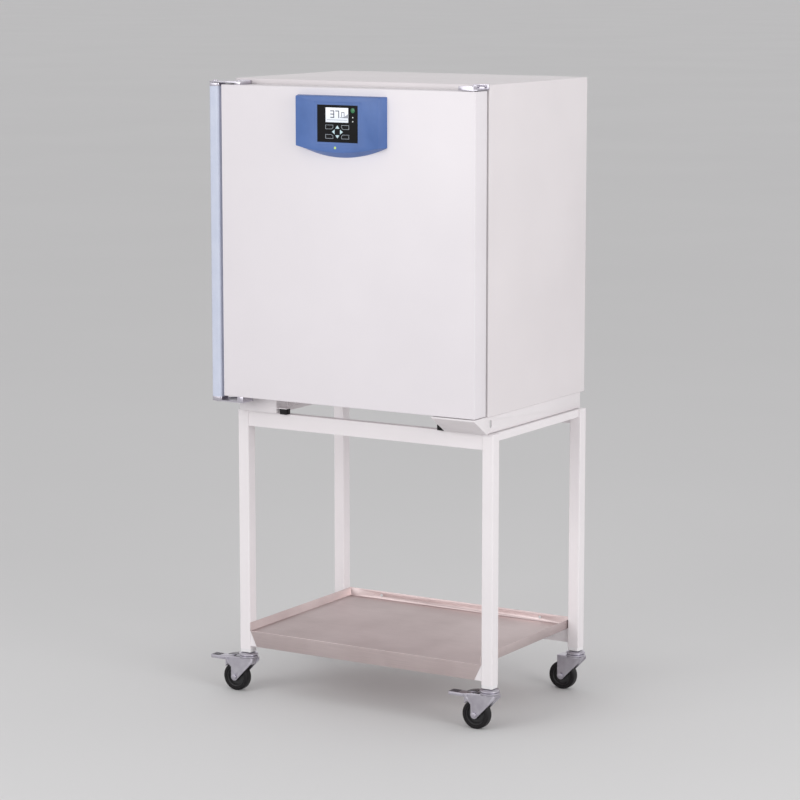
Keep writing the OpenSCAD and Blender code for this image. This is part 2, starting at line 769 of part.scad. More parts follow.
// Mains inlet: flange, socket body and three blades
module mains_inlet() color("dimgray") to_origin() {
  y1 = cabinet_d + back_t;
  difference() {
    union() {
      box([inlet_x - inlet_w / 2 - 5, y1, inlet_z - inlet_h / 2 - 5],
          [inlet_x + inlet_w / 2 + 5, y1 + 2.5, inlet_z + inlet_h / 2 + 5]);
      box([inlet_x - inlet_w / 2, y1 - inlet_deep, inlet_z - inlet_h / 2],
          [inlet_x + inlet_w / 2, y1 + 1, inlet_z + inlet_h / 2]);
    }
    box([inlet_x - inlet_w / 2 + 8, y1 - inlet_deep + 3, inlet_z - inlet_h / 2 + 3],
        [inlet_x + inlet_w / 2 - 8, y1 + 5, inlet_z + inlet_h / 2 - 3]);
  }
  for (p = [[-9, -2], [0, 3], [9, -2]])
    box([inlet_x + p[0] - 1, y1 - inlet_deep + 2, inlet_z + p[1] - 2],
        [inlet_x + p[0] + 1, y1 - 4, inlet_z + p[1] + 2]);
}

plate_gap = 1.5;
plate_t = 3;
hinge_z1 = door_z1 + plate_gap + plate_t;
bracket_z1 = door_z0 - 2;
bracket_z0 = leg_z1 + 1;
bracket_x0 = hinge_x - 103;
bracket_t = 3;
pin_deep = 20;
hinge_screw_xs = [hinge_x - 10, hinge_x + 11];
hinge_screw_z = hinge_z1 + 5;
knuckle_x0 = hinge_x - 35;
knuckle_x1 = hinge_x + 7;
knuckle_deep = 18;
knuckle_z1 = hinge_z1 + 7;

// Zinc angle over the door's top corner
module hinge_plate() color("silver") to_origin() {
  difference() {
    union() {
      box([hinge_x - 24, -2.5, door_z1 + plate_gap], [door_x + 0.5, 0, body_z1]);
      box([hinge_x - 24, door_y0 + 6, door_z1 + plate_gap], [door_x + 0.5, 0, hinge_z1]);
      box([knuckle_x0, hinge_y - knuckle_deep / 2, door_z1 + plate_gap],
          [knuckle_x1, hinge_y + knuckle_deep / 2, knuckle_z1]);
    }
    translate([hinge_x, hinge_y, door_z1]) cylinder(h = 20, r = hinge_pin_dia / 2);
    for (x = hinge_screw_xs) rod_y([x, -5, hinge_screw_z], screw_r, 10);
  }
}

// Folded wedge below the door's lower corner, fixed to the right runner
module hinge_bracket() color("whitesmoke") to_origin() {
  difference() {
    plate_yz(bracket_x0, door_x - bracket_x0)
      polygon([[door_y0, bracket_z1], [door_y0, bracket_z1 - 4], [-2, bracket_z0], [0, bracket_z0],
               [0, body_z0 - loose], [-loose, body_z0 - loose], [-loose, bracket_z1]]);
    plate_yz(bracket_x0 + bracket_t, door_x - bracket_x0 - 2 * bracket_t)
      polygon([[door_y0 + 6, bracket_z1 - bracket_t], [-4, bracket_z0 + 5],
          [-4, bracket_z1 - bracket_t]]);
    translate([hinge_x, hinge_y, bracket_z1 - 10]) cylinder(h = 20, r = hinge_pin_dia / 2);
  }
}

lug_t = 4;

// Two pins for the outer door, and two for the glass door with their lugs
module hinge_pins() color("silver") to_origin() {
  translate([hinge_x, hinge_y, 0]) {
    translate([0, 0, door_z1 - pin_deep + 1]) cylinder(h = knuckle_z1 - door_z1 + pin_deep - 1,
        r = hinge_pin_dia / 2);
    translate([0, 0, knuckle_z1]) cylinder(h = 2, r = hinge_pin_dia / 2 + 1.5);
    translate([0, 0,
        bracket_z1 - bracket_t]) cylinder(h = door_z0 + pin_deep - 1 - bracket_z1 + bracket_t,
            r = hinge_pin_dia / 2);
  }
  for (z = clip_zs) {
    translate([glass_axis_x, glass_axis_y, z - lug_t - loose])
      cylinder(h = clip_h + 2 * (lug_t + loose), r = glass_pin_r);
    for (lz = [z - lug_t - loose, z + clip_h + loose])
      box([glass_axis_x - glass_pin_r - 1, glass_axis_y - glass_pin_r - 1, lz],
          [recess_x, glass_axis_y + glass_pin_r + 1, lz + lug_t]);
  }
}

// Latch keepers on the cabinet's front, beside the handle's hooks
module latch_keepers() color("silver") to_origin() {
  box([keeper_x0, -keeper_d, handle_z1 - hook_t], [keeper_x0 + keeper_w, 0, handle_z1 + 6]);
  box([keeper_x0, -keeper_d, handle_z0 - 2], [keeper_x0 + 26, 0, handle_z0 + 8]);
}

// A screw with a pan head outside and a short shank, pointing along -Y
module screw_back(x, y, z, len) {
  rod_y([x, y - len, z], screw_r, len);
  rod_y([x, y, z], screw_head_r, screw_head_t);
}

module screws() color("silver") to_origin() {
  for (p = back_screws()) screw_back(p[0], cabinet_d + back_t, p[1], back_t + sheet_t);
  for (x = hinge_screw_xs) {
    rod_y([x, -2.5 - screw_head_t, hinge_screw_z], screw_head_r, screw_head_t);
    rod_y([x, -2.5, hinge_screw_z], screw_r, 2.5);
  }
}

// ---- Outer door ----

door_sheet = 1.5;
boss_r = hinge_pin_dia / 2 + 4;

// Folded door skin with a bush for each hinge pin
module door_skin() color("white") to_origin() {
  difference() {
    union() {
      difference() {
        box([-door_x, door_y0, door_z0], [door_x, door_y1, door_z1]);
        box([-door_x + door_sheet, door_y0 + door_sheet, door_z0 + door_sheet],
            [door_x - door_sheet, door_y1 + eps, door_z1 - door_sheet]);
      }
      for (z = [door_z0, door_z1 - pin_deep - 2])
        translate([hinge_x, hinge_y, z]) cylinder(h = pin_deep + 2, r = boss_r);
    }
    for (z = [door_z0 - eps, door_z1 - pin_deep])
      translate([hinge_x, hinge_y, z]) cylinder(h = pin_deep + eps, r = hinge_pin_dia / 2 + run_fit);
  }
}

// Inner panel of the door, set flush between the skin's edges
module door_liner() color("lightgray") to_origin() {
  x1 = door_x - door_sheet;
  box([-x1, door_y1 - 1.2, door_z0 + door_sheet], [x1, door_y1, door_z1 - door_sheet]);
}

module door_insulation() color("khaki") to_origin() {
  x1 = door_x - door_sheet - 0.5;
  difference() {
    box([-x1, door_y0 + door_sheet + 0.5, door_z0 + door_sheet + 0.5],
        [x1, door_y1 - 1.7, door_z1 - door_sheet - 0.5]);
    for (z = [door_z0, door_z1 - pin_deep - 4])
      translate([hinge_x, hinge_y, z]) cylinder(h = pin_deep + 4, r = boss_r + loose);
  }
}

// Gasket ring that stops just short of the cabinet's flange
module door_gasket() color("dimgray") to_origin() {
  x1 = door_x - gasket_inset;
  y1 = sheet_t - gasket_squash_gap;
  difference() {
    box([-x1, door_y1, door_z0 + gasket_inset], [x1, y1, door_z1 - gasket_inset]);
    box([-x1 + gasket_w, door_y1 - eps, door_z0 + gasket_inset + gasket_w],
        [x1 - gasket_w, y1 + eps, door_z1 - gasket_inset - gasket_w]);
  }
}

// ---- Handle ----

riser_w = 18;
pintle_y0 = door_y0 + 4;
pintle_y1 = door_y1 - 6;

// A plate beyond the handle's end with its riser on the door and its riveted pin
module pintle(z_door, z_handle, up) {
  z_plate = up ? z_handle + pintle_gap : z_handle - pintle_gap - pintle_t;
  box([handle_pivot_x - 8, pintle_y0, z_plate], [pintle_x1, pintle_y1, z_plate + pintle_t]);
  box([pintle_x1 - riser_w, pintle_y0, min(z_door, z_plate)],
      [pintle_x1, pintle_y1, max(z_door, z_plate + pintle_t)]);
  translate([handle_pivot_x, handle_pivot_y, up ? z_plate - 14 : z_plate - 3])
    cylinder(h = pintle_t + 17, r = handle_pin_r);
  translate([handle_pivot_x, handle_pivot_y, up ? z_plate + pintle_t : z_plate - 3])
    cylinder(h = 3, r = handle_pin_r + 2);
}

module handle_pintles() color("silver") to_origin() {
  pintle(door_z1, handle_z1, true);
  pintle(door_z0, handle_z0, false);
}

// Hollow handle profile
module handle_bar() color("lightsteelblue") to_origin() {
  difference() {
    round_bar(handle_x0, handle_x1, handle_y0, handle_y1, handle_z0 + cap_h, handle_z1 - cap_h, 7);
    round_bar(handle_x0 + handle_wall, handle_x1 - handle_wall, handle_y0 + handle_wall,
        handle_y1 - handle_wall,
              handle_z0, handle_z1, 4);
  }
}

hook_reach = sqrt(pow(keeper_x0 - handle_pivot_x, 2) + pow(-keeper_d - handle_pivot_y, 2)) - 1.3;
hook_angle = atan2(-keeper_d - handle_pivot_y, keeper_x0 - handle_pivot_x);

// End cap with the hook arm that points at the keeper
module handle_end(z_cap, z_hook) {
  difference() {
    union() {
      round_bar(handle_x0, handle_x1, handle_y0, handle_y1, z_cap, z_cap + cap_h, 7);
      translate([handle_pivot_x, handle_pivot_y, z_hook])
        rotate([0, 0, hook_angle])
          linear_extrude(hook_t)
            polygon([[10, -6], [hook_reach - 7, -6], [hook_reach - 1, -2], [hook_reach - 1, 2],
                     [hook_reach - 7, 6], [10, 6]]);
    }
    translate([handle_pivot_x, handle_pivot_y, z_cap - eps])
      cylinder(h = cap_h + 2 * eps, r = handle_pin_r + run_fit);
  }
}

module handle_ends() color("silver") to_origin() {
  handle_end(handle_z1 - cap_h, handle_z1 - hook_t);
  handle_end(handle_z0, handle_z0);
}

// ---- Glass door ----

module glass_door() color("lightcyan") to_origin() {
  box([glass_x0, glass_y0, glass_z0], [glass_x1, glass_y0 + glass_t, glass_z1]);
}

clip_x0 = glass_x1 - 14;
clip_grip = 2;

// Two hinge clips round the glass edge and a finger clip at the free edge
module glass_fittings() color("silver") to_origin() {
  for (z = clip_zs)
    difference() {
      union() {
        box([clip_x0, glass_y0 - clip_grip, z],
            [glass_axis_x - 1, glass_y0 + glass_t + clip_grip, z + clip_h]);
        translate([glass_axis_x, glass_axis_y, z]) cylinder(h = clip_h, r = 4.5);
      }
      box([clip_x0 - eps, glass_y0, z - eps], [glass_x1, glass_y0 + glass_t, z + clip_h + eps]);
      translate([glass_axis_x, glass_axis_y, z - eps])
        cylinder(h = clip_h + 2 * eps, r = glass_pin_r + run_fit);
    }
  zc = (glass_z0 + glass_z1) / 2;
  difference() {
    box([glass_x0 - 2, glass_y0 - 4, zc - 20], [glass_x0 + 14, glass_y0 + glass_t + clip_grip, zc + 20]);
    box([glass_x0, glass_y0, zc - 20 - eps], [glass_x0 + 14 + eps, glass_y0 + glass_t, zc + 20 + eps]);
  }
}

// ---- Controls ----

housing_x0 = control_x - 2 - housing_w / 2;
housing_x1 = housing_x0 + housing_w;
housing_mid = (housing_x0 + housing_x1) / 2;
housing_low = housing_z1 - housing_h;
arc_big = (pow(housing_w / 2, 2) + pow(chin_base, 2)) / (2 * chin_base);
arc_small = (pow(housing_w / 2, 2) + pow(chin_front, 2)) / (2 * chin_front);
chin_y0 = door_y0 - housing_d + 9;

// Outline of the housing with an arched lower edge
module housing_face(sag, arc) {
  translate([housing_x0, housing_low]) square([housing_w, housing_h]);
  intersection() {
    translate([housing_mid, housing_low - sag + arc]) circle(arc, $fn = 180);
    translate([housing_x0, housing_low - sag - eps]) square([housing_w, sag + 2 * eps]);
  }
}

// Moulded housing on the door's front, with sloped ends and a pocket for the keypad
module control_housing() color("steelblue") to_origin() {
  difference() {
    intersection() {
      union() {
        plate_xz(housing_y0, housing_d) housing_face(chin_front, arc_small);
        plate_xz(chin_y0, door_y0 - chin_y0) housing_face(chin_base, arc_big);
      }
      translate([0, 0, housing_low - 50])
        linear_extrude(housing_h + 60)
          polygon([[housing_x0, door_y0], [housing_x0 + housing_draft, housing_y0],
                   [housing_x1 - housing_draft, housing_y0], [housing_x1, door_y0]]);
    }
    box([housing_x0 + 16, housing_y0 + housing_wall, housing_low + 4],
        [housing_x1 - 16, door_y0 + eps, housing_z1 - 4]);
    box([panel_x0, housing_y0 - eps, panel_z1 - panel_h],
        [panel_x0 + panel_w, housing_y0 + panel_t, panel_z1]);
    box([panel_x0 + 4, housing_y0 - eps, panel_z1 - panel_h + 4],
        [panel_x0 + panel_w - 4, housing_y0 + housing_wall + eps, panel_z1 - 4]);
  }
}

// Key outlines, each about the middle of the pad or the panel's top
pad_z = panel_z1 - pad_drop;
module up_shape() polygon([[-arrow_w / 2, arrow_reach - arrow_h / 2],
    [arrow_w / 2, arrow_reach - arrow_h / 2],
                           [0, arrow_reach + arrow_h / 2]]);
module arrow_shape(turn) translate([control_x, pad_z]) rotate(turn) up_shape();
module soft_shape(sx, sz) {
  translate([control_x, pad_z]) scale([sx, sz])
    polygon([[soft_x + soft_chamfer, soft_z], [soft_x + soft_w, soft_z],
        [soft_x + soft_w, soft_z + soft_h],
             [soft_x, soft_z + soft_h], [soft_x, soft_z + soft_chamfer]]);
}
module power_shape(extra) translate([power_x, panel_z1 - power_drop]) circle(power_r + extra);

// The same outlines enlarged for the holes in the keypad panel
module arrow_hole(turn) {
  g = key_fit;
  translate([control_x, pad_z]) rotate(turn)
    polygon([[-arrow_w / 2 - 2.2 * g, arrow_reach - arrow_h / 2 - g],
        [arrow_w / 2 + 2.2 * g, arrow_reach - arrow_h / 2 - g],
             [0, arrow_reach + arrow_h / 2 + 1.8 * g]]);
}
module soft_hole(sx, sz) {
  g = key_fit;
  translate([control_x, pad_z]) scale([sx, sz])
    polygon([[soft_x + soft_chamfer - 0.4 * g, soft_z - g], [soft_x + soft_w + g, soft_z - g],
             [soft_x + soft_w + g, soft_z + soft_h + g], [soft_x - g, soft_z + soft_h + g],
             [soft_x - g, soft_z + soft_chamfer - 0.4 * g]]);
}

// Black keypad panel with a window and a hole for every key
module keypad_panel() color("black") to_origin() {
  difference() {
    box([panel_x0, housing_y0, panel_z1 - panel_h],
        [panel_x0 + panel_w, housing_y0 + panel_t, panel_z1]);
    box([lcd_x0, housing_y0 - eps, panel_z1 - lcd_drop - lcd_h],
        [lcd_x0 + lcd_w, housing_y0 + panel_t + eps, panel_z1 - lcd_drop]);
    plate_xz(housing_y0 - eps, panel_t + 2 * eps) {
      for (turn = [0, 90, 180, 270]) arrow_hole(turn);
      for (sx = [-1, 1], sz = [-1, 1]) soft_hole(sx, sz);
      power_shape(key_fit);
    }
  }
}

module display() color("white") to_origin() {
  box([lcd_x0, housing_y0 - 0.3, panel_z1 - lcd_drop - lcd_h],
      [lcd_x0 + lcd_w, housing_y0 + panel_t + 1, panel_z1 - lcd_drop]);
}

module key() plate_xz(housing_y0 - key_proud, key_t) children();

module power_key() color("seagreen") to_origin() key() power_shape(0);
module up_key() color("lightcyan") to_origin() key() arrow_shape(0);
module left_key() color("lightcyan") to_origin() key() arrow_shape(90);
module down_key() color("lightcyan") to_origin() key() arrow_shape(180);
module right_key() color("lightcyan") to_origin() key() arrow_shape(270);
module upper_left_key() color("dimgray") to_origin() key() soft_shape(-1, 1);
module upper_right_key() color("dimgray") to_origin() key() soft_shape(1, 1);
module lower_left_key() color("dimgray") to_origin() key() soft_shape(-1, -1);
module lower_right_key() color("dimgray") to_origin() key() soft_shape(1, -1);

stand_legs();
stand_long_rails();
stand_side_rails();
leg_plugs();
storage_tray();
castor_heads();
castor_fork_fl();
castor_fork_fr();
castor_fork_rl();
castor_fork_rr();
castor_axle_fl();
castor_axle_fr();
castor_axle_rl();
castor_axle_rr();
castor_wheel_fl();
castor_wheel_fr();
castor_wheel_rl();
castor_wheel_rr();
castor_brake_fl();
castor_brake_fr();
cabinet_shell();
cabinet_back();
base_runners();
rubber_feet();
chamber_liner();
insulation();
chamber_floor_plate();
heating_element();
temperature_probe();
shelf_ladders();
wire_shelves();
exhaust_pipe();
exhaust_flap();
mains_inlet();
hinge_plate();
hinge_bracket();
hinge_pins();
latch_keepers();
screws();
door_skin();
door_liner();
door_insulation();
door_gasket();
handle_pintles();
handle_bar();
handle_ends();
glass_door();
glass_fittings();
control_housing();
keypad_panel();
display();
power_key();
up_key();
down_key();
left_key();
right_key();
upper_left_key();
upper_right_key();
lower_left_key();
lower_right_key();
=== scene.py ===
import math

import bmesh
import bpy
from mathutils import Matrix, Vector


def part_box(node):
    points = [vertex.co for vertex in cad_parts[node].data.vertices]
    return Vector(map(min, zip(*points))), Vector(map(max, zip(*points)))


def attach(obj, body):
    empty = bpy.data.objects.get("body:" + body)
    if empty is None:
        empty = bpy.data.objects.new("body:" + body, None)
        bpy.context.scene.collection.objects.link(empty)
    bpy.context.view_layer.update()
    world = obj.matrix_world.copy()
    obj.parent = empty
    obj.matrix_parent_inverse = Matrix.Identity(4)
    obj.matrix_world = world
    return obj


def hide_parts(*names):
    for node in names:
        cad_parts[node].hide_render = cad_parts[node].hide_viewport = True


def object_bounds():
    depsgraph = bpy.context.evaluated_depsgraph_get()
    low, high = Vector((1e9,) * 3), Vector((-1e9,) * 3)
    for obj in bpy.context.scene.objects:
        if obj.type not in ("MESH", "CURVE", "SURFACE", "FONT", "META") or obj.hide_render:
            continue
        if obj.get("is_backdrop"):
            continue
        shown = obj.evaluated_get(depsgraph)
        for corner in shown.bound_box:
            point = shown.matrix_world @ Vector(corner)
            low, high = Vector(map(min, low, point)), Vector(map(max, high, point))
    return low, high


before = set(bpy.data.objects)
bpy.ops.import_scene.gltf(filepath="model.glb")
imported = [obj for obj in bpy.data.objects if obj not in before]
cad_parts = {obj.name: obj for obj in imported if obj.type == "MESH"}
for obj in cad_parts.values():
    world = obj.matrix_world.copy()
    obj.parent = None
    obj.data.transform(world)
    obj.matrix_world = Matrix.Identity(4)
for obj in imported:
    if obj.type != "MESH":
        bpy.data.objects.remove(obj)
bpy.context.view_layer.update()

# ---------------------------------------------------------------------------------------------
# Stand: square steel tube, welded at the corners and powder coated white in one go, with moulded
# plugs pushed into the lower ends. The coat is thick enough to round every arris and shows the
# faint waviness of cured powder.


def linear(hex_colour):
    """An sRGB hex colour as the linear colour that shaders use."""
    parts = [int(hex_colour[i:i + 2], 16) / 255 for i in (1, 3, 5)]
    return tuple(c / 12.92 if c <= 0.04045 else ((c + 0.055) / 1.055) ** 2.4 for c in parts) + (1.0,)


def add(tree, kind, settings=None, links=None):
    """Adds one node, with its settings and what feeds it."""
    made = tree.nodes.new(kind)
    for key, value in (settings or {}).items():
        if isinstance(key, str) and hasattr(made, key):
            setattr(made, key, value)
        else:
            made.inputs[key].default_value = value
    for key, source in (links or {}).items():
        tree.links.new(source, made.inputs[key])
    return made


def start_material(name):
    material = bpy.data.materials.new(name)
    material.use_nodes = True
    material.node_tree.nodes.clear()
    return material, material.node_tree


def two_tone(tree, where, scale, pale, deep, low=0.35, high=0.65):
    """A slow drift between two close colours, as paint, metal and plastic have over a large face."""
    cloud = add(tree, "ShaderNodeTexNoise", {"Scale": scale, "Detail": 3.0, "Roughness": 0.55},
                {"Vector": where})
    spread = add(tree, "ShaderNodeMapRange", {"From Min": low, "From Max": high}, {"Value": cloud.outputs[0]})
    return add(tree, "ShaderNodeMix", {"data_type": "RGBA", 6: linear(pale), 7: linear(deep)},
               {0: spread.outputs[0]}).outputs[2]


def powder_coat(name, pale, deep, shine=0.42):
    # Cured powder: a dielectric film of about 80 microns with a 4 mm orange peel. The peel is drawn
    # a little coarser than the real one so that it still breaks up the highlights at this distance.
    material, tree = start_material(name)
    where = add(tree, "ShaderNodeTexCoord").outputs["Object"]
    peel = add(tree, "ShaderNodeTexNoise", {"Scale": 1 / 0.004, "Detail": 2.0}, {"Vector": where})
    speckle = add(tree, "ShaderNodeTexNoise", {"Scale": 1 / 0.0012, "Detail": 1.0}, {"Vector": where})
    gloss = add(tree, "ShaderNodeMapRange", {"To Min": shine - 0.05, "To Max": shine + 0.05},
                {"Value": speckle.outputs[0]})
    bump = add(tree, "ShaderNodeBump", {"Strength": 0.18, "Distance": 0.00012}, {"Height": peel.outputs[0]})
    shader = add(tree, "ShaderNodeBsdfPrincipled", {"IOR": 1.5, "Coat Weight": 0.15, "Coat Roughness": 0.25},
                 {"Base Color": two_tone(tree, where, 2.5, pale, deep), "Roughness": gloss.outputs[0],
                  "Normal": bump.outputs[0]})
    add(tree, "ShaderNodeOutputMaterial", links={"Surface": shader.outputs[0]})
    return material


def finish_node(node, material):
    """Gives a CAD piece its finish through its own material slot."""
    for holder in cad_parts[node].material_slots:
        holder.material = material


white_stand_coat = powder_coat("white powder coat on steel tube", "#EFEAEC", "#E9E4E6", 0.38)
for piece in ("stand_legs", "stand_long_rails", "stand_side_rails"):
    finish_node(piece, white_stand_coat)


def moulded_plastic(name, pale, deep, shine, grain_mm, depth=0.00006, gleam=0.5):
    # Injection-moulded plastic: the tool's spark-eroded grain gives a soft, even sheen.
    material, tree = start_material(name)
    where = add(tree, "ShaderNodeTexCoord").outputs["Object"]
    grain = add(tree, "ShaderNodeTexVoronoi", {"Scale": 1000 / grain_mm}, {"Vector": where})
    bump = add(tree, "ShaderNodeBump", {"Strength": 0.22, "Distance": depth}, {"Height": grain.outputs[0]})
    gloss = add(tree, "ShaderNodeMapRange", {"To Min": shine - 0.04, "To Max": shine + 0.06},
                {"Value": grain.outputs[0]})
    shader = add(tree, "ShaderNodeBsdfPrincipled", {"IOR": 1.53, "Specular IOR Level": gleam},
                 {"Base Color": two_tone(tree, where, 14, pale, deep), "Roughness": gloss.outputs[0],
                  "Normal": bump.outputs[0]})
    add(tree, "ShaderNodeOutputMaterial", links={"Surface": shader.outputs[0]})
    return material


finish_node("leg_plugs", moulded_plastic("moulded white polyethylene", "#EDEBEC", "#E4E2E4", 0.45, 0.9))

# ---------------------------------------------------------------------------------------------
# Storage tray: one blank of stainless sheet, its three rims folded up and its front edge folded
# down over the rail. The mill's brushing runs the long way, and the folds show as brighter lines.


def rounded_copy(node, name, radius_mm, wanted=None, segments=2, sharp_deg=35):
    """A CAD piece's own shape with its arrises rolled over, shown in that piece's place."""
    work = bmesh.new()
    work.from_mesh(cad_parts[node].data)
    bmesh.ops.remove_doubles(work, verts=work.verts, dist=2e-6)
    bmesh.ops.dissolve_limit(work, angle_limit=math.radians(0.3), verts=work.verts, edges=work.edges)
    arrises = [e for e in work.edges if len(e.link_faces) == 2
               and e.calc_face_angle(0) > math.radians(sharp_deg) and (wanted is None or wanted(e))]
    bmesh.ops.bevel(work, geom=arrises, offset=radius_mm / 1000, segments=segments, profile=0.5,
                    affect="EDGES", clamp_overlap=True)
    return finished_piece(work, name)


def finished_piece(work, name, smooth_deg=40):
    """Turns a working mesh into a piece that stands in its own place, smooth up to its real corners."""
    mesh = bpy.data.meshes.new(name)
    work.to_mesh(mesh)
    work.free()
    mesh.polygons.foreach_set("use_smooth", [True] * len(mesh.polygons))
    mesh.set_sharp_from_angle(angle=math.radians(smooth_deg))
    made = bpy.data.objects.new(name, mesh)
    bpy.context.scene.collection.objects.link(made)
    return made


def dress(made, material, body, slot, *stands_for):
    """Finish, body and the CAD pieces that the new piece is shown in place of; the slot argument is not used.
    """
    made.data.materials.append(material)
    if stands_for:
        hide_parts(*stands_for)
    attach(made, body)


def brushed_steel(name, pale, deep, shine, grain_mm, along):
    # Brushed stainless: a bare metal with fine parallel scratches, so it shines in a band across
    # the grain. The scratches are drawn about five times as wide as real ones to stay visible.
    material, tree = start_material(name)
    where = add(tree, "ShaderNodeTexCoord").outputs["Object"]
    stretch = [1000 / grain_mm] * 3
    stretch[along] = 1000 / (grain_mm * 90)
    lay = add(tree, "ShaderNodeMapping", {"Scale": stretch}, {"Vector": where})
    scratches = add(tree, "ShaderNodeTexNoise", {"Scale": 1.0, "Detail": 4.0, "Roughness": 0.6},
                    {"Vector": lay.outputs[0]})
    gloss = add(tree, "ShaderNodeMapRange", {"To Min": shine - 0.08, "To Max": shine + 0.1},
                {"Value": scratches.outputs[0]})
    bump = add(tree, "ShaderNodeBump", {"Strength": 0.12, "Distance": 0.00005},
               {"Height": scratches.outputs[0]})
    tone = add(tree, "ShaderNodeMapRange", {"From Min": 0.3, "From Max": 0.7, "To Min": 0.9, "To Max": 1.04},
               {"Value": scratches.outputs[0]})
    colour = add(tree, "ShaderNodeMix", {"data_type": "RGBA", "blend_type": "MULTIPLY", 0: 1.0},
                 {6: two_tone(tree, where, 5, pale, deep), 7: tone.outputs[0]})
    shader = add(tree, "ShaderNodeBsdfPrincipled", {"Metallic": 1.0},
                 {"Base Color": colour.outputs[2], "Roughness": gloss.outputs[0], "Normal": bump.outputs[0]})
    add(tree, "ShaderNodeOutputMaterial", links={"Surface": shader.outputs[0]})
    return material


tray_steel = brushed_steel("brushed stainless sheet, long grain", "#DED0CF", "#D2C3C2", 0.42, 1.1, 0)
dress(rounded_copy("storage_tray", "tray_sheet", 0.6), tray_steel, "cabinet_on_stand", "stainless_steel",
      "storage_tray")

# ---------------------------------------------------------------------------------------------
# Castors: stamped and zinc-plated forks on a riveted swivel head, a bolt for the axle, and a black
# wheel with a rubber tread on a nylon centre. The two at the front carry a foot brake.

CASTOR_TRAIL = 0.036   # the axle sits this far behind the swivel's axis
FOUR_CASTORS = ("fl", "fr", "rl", "rr")


def zinc_plate(name, pale, deep):
    # Bright zinc: a soft metallic shine with the cloudy, slightly blue bloom of a chromate dip.
    material, tree = start_material(name)
    where = add(tree, "ShaderNodeTexCoord").outputs["Object"]
    bloom = add(tree, "ShaderNodeTexNoise", {"Scale": 1 / 0.009, "Detail": 2.0}, {"Vector": where})
    gloss = add(tree, "ShaderNodeMapRange", {"To Min": 0.25, "To Max": 0.36}, {"Value": bloom.outputs[0]})
    bump = add(tree, "ShaderNodeBump", {"Strength": 0.04, "Distance": 0.00004}, {"Height": bloom.outputs[0]})
    shader = add(tree, "ShaderNodeBsdfPrincipled", {"Metallic": 0.95},
                 {"Base Color": two_tone(tree, where, 40, pale, deep), "Roughness": gloss.outputs[0],
                  "Normal": bump.outputs[0]})
    add(tree, "ShaderNodeOutputMaterial", links={"Surface": shader.outputs[0]})
    return material


def rubber(name, pale, deep, shine, grain_mm=0.8):
    # Filled rubber: nearly black, with a broad dull sheen and a fine moulded skin.
    material, tree = start_material(name)
    where = add(tree, "ShaderNodeTexCoord").outputs["Object"]
    skin = add(tree, "ShaderNodeTexNoise", {"Scale": 1000 / grain_mm, "Detail": 3.0}, {"Vector": where})
    bump = add(tree, "ShaderNodeBump", {"Strength": 0.25, "Distance": 0.0001}, {"Height": skin.outputs[0]})
    gloss = add(tree, "ShaderNodeMapRange", {"To Min": shine - 0.08, "To Max": shine + 0.08},
                {"Value": skin.outputs[0]})
    shader = add(tree, "ShaderNodeBsdfPrincipled", {"IOR": 1.52, "Specular IOR Level": 0.2},
                 {"Base Color": two_tone(tree, where, 30, pale, deep), "Roughness": gloss.outputs[0],
                  "Normal": bump.outputs[0]})
    add(tree, "ShaderNodeOutputMaterial", links={"Surface": shader.outputs[0]})
    return material


castor_zinc = zinc_plate("bright zinc plating on stamped steel", "#CBC8D0", "#BDB9C3")
tread_rubber = rubber("black rubber tread", "#201E20", "#161416", 0.42)
nylon_centre = moulded_plastic("black nylon wheel centre", "#262527", "#1B1A1C", 0.36, 0.7)


def lathe(work, centre, profile, steps, axis="Y"):
    """Turns a closed outline of (radius, height) pairs in millimetres about an axis along Y or Z."""
    rings = []
    for i in range(steps):
        turn = 2 * math.pi * i / steps
        across = math.cos(turn) / 1000, math.sin(turn) / 1000
        rings.append([])
        for r, h in profile:
            out_y, out_z = (h / 1000, r * across[1]) if axis == "Y" else (r * across[1], h / 1000)
            place = (centre[0] + r * across[0], centre[1] + out_y, centre[2] + out_z)
            rings[-1].append(work.verts.new(place))
    for i in range(steps):
        here, there = rings[i], rings[(i + 1) % steps]
        for j in range(len(profile)):
            k = (j + 1) % len(profile)
            work.faces.new((here[j], here[k], there[k], there[j]))


def stem_axis(corner):
    """Where a castor's swivel axis stands, found from its wheel."""
    near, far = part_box("castor_wheel_" + corner)
    return (near[0] + far[0]) / 2 + CASTOR_TRAIL, (near[1] + far[1]) / 2


# Millimetres: the tread's round, one side of the nylon centre, and the nose's levels as (height, forward).
TREAD_RADIUS, TREAD_HALF, TREAD_ROUND = 37.5, 12, 5.2
CENTRE_HALF = [(4.05, 13), (9.5, 13), (10.5, 12), (12, 6), (22, 5), (24.5, 9.6), (26.1, 10.4)]
NOSE_LEVELS = ((90.2, 21.6), (87.0, 21.4), (82.0, 18.6), (76.5, 14.2), (74.0, 12.2))
NOSE_HALF, NOSE_BOW, NOSE_SHEET = 13.8, 4.5, 1.5

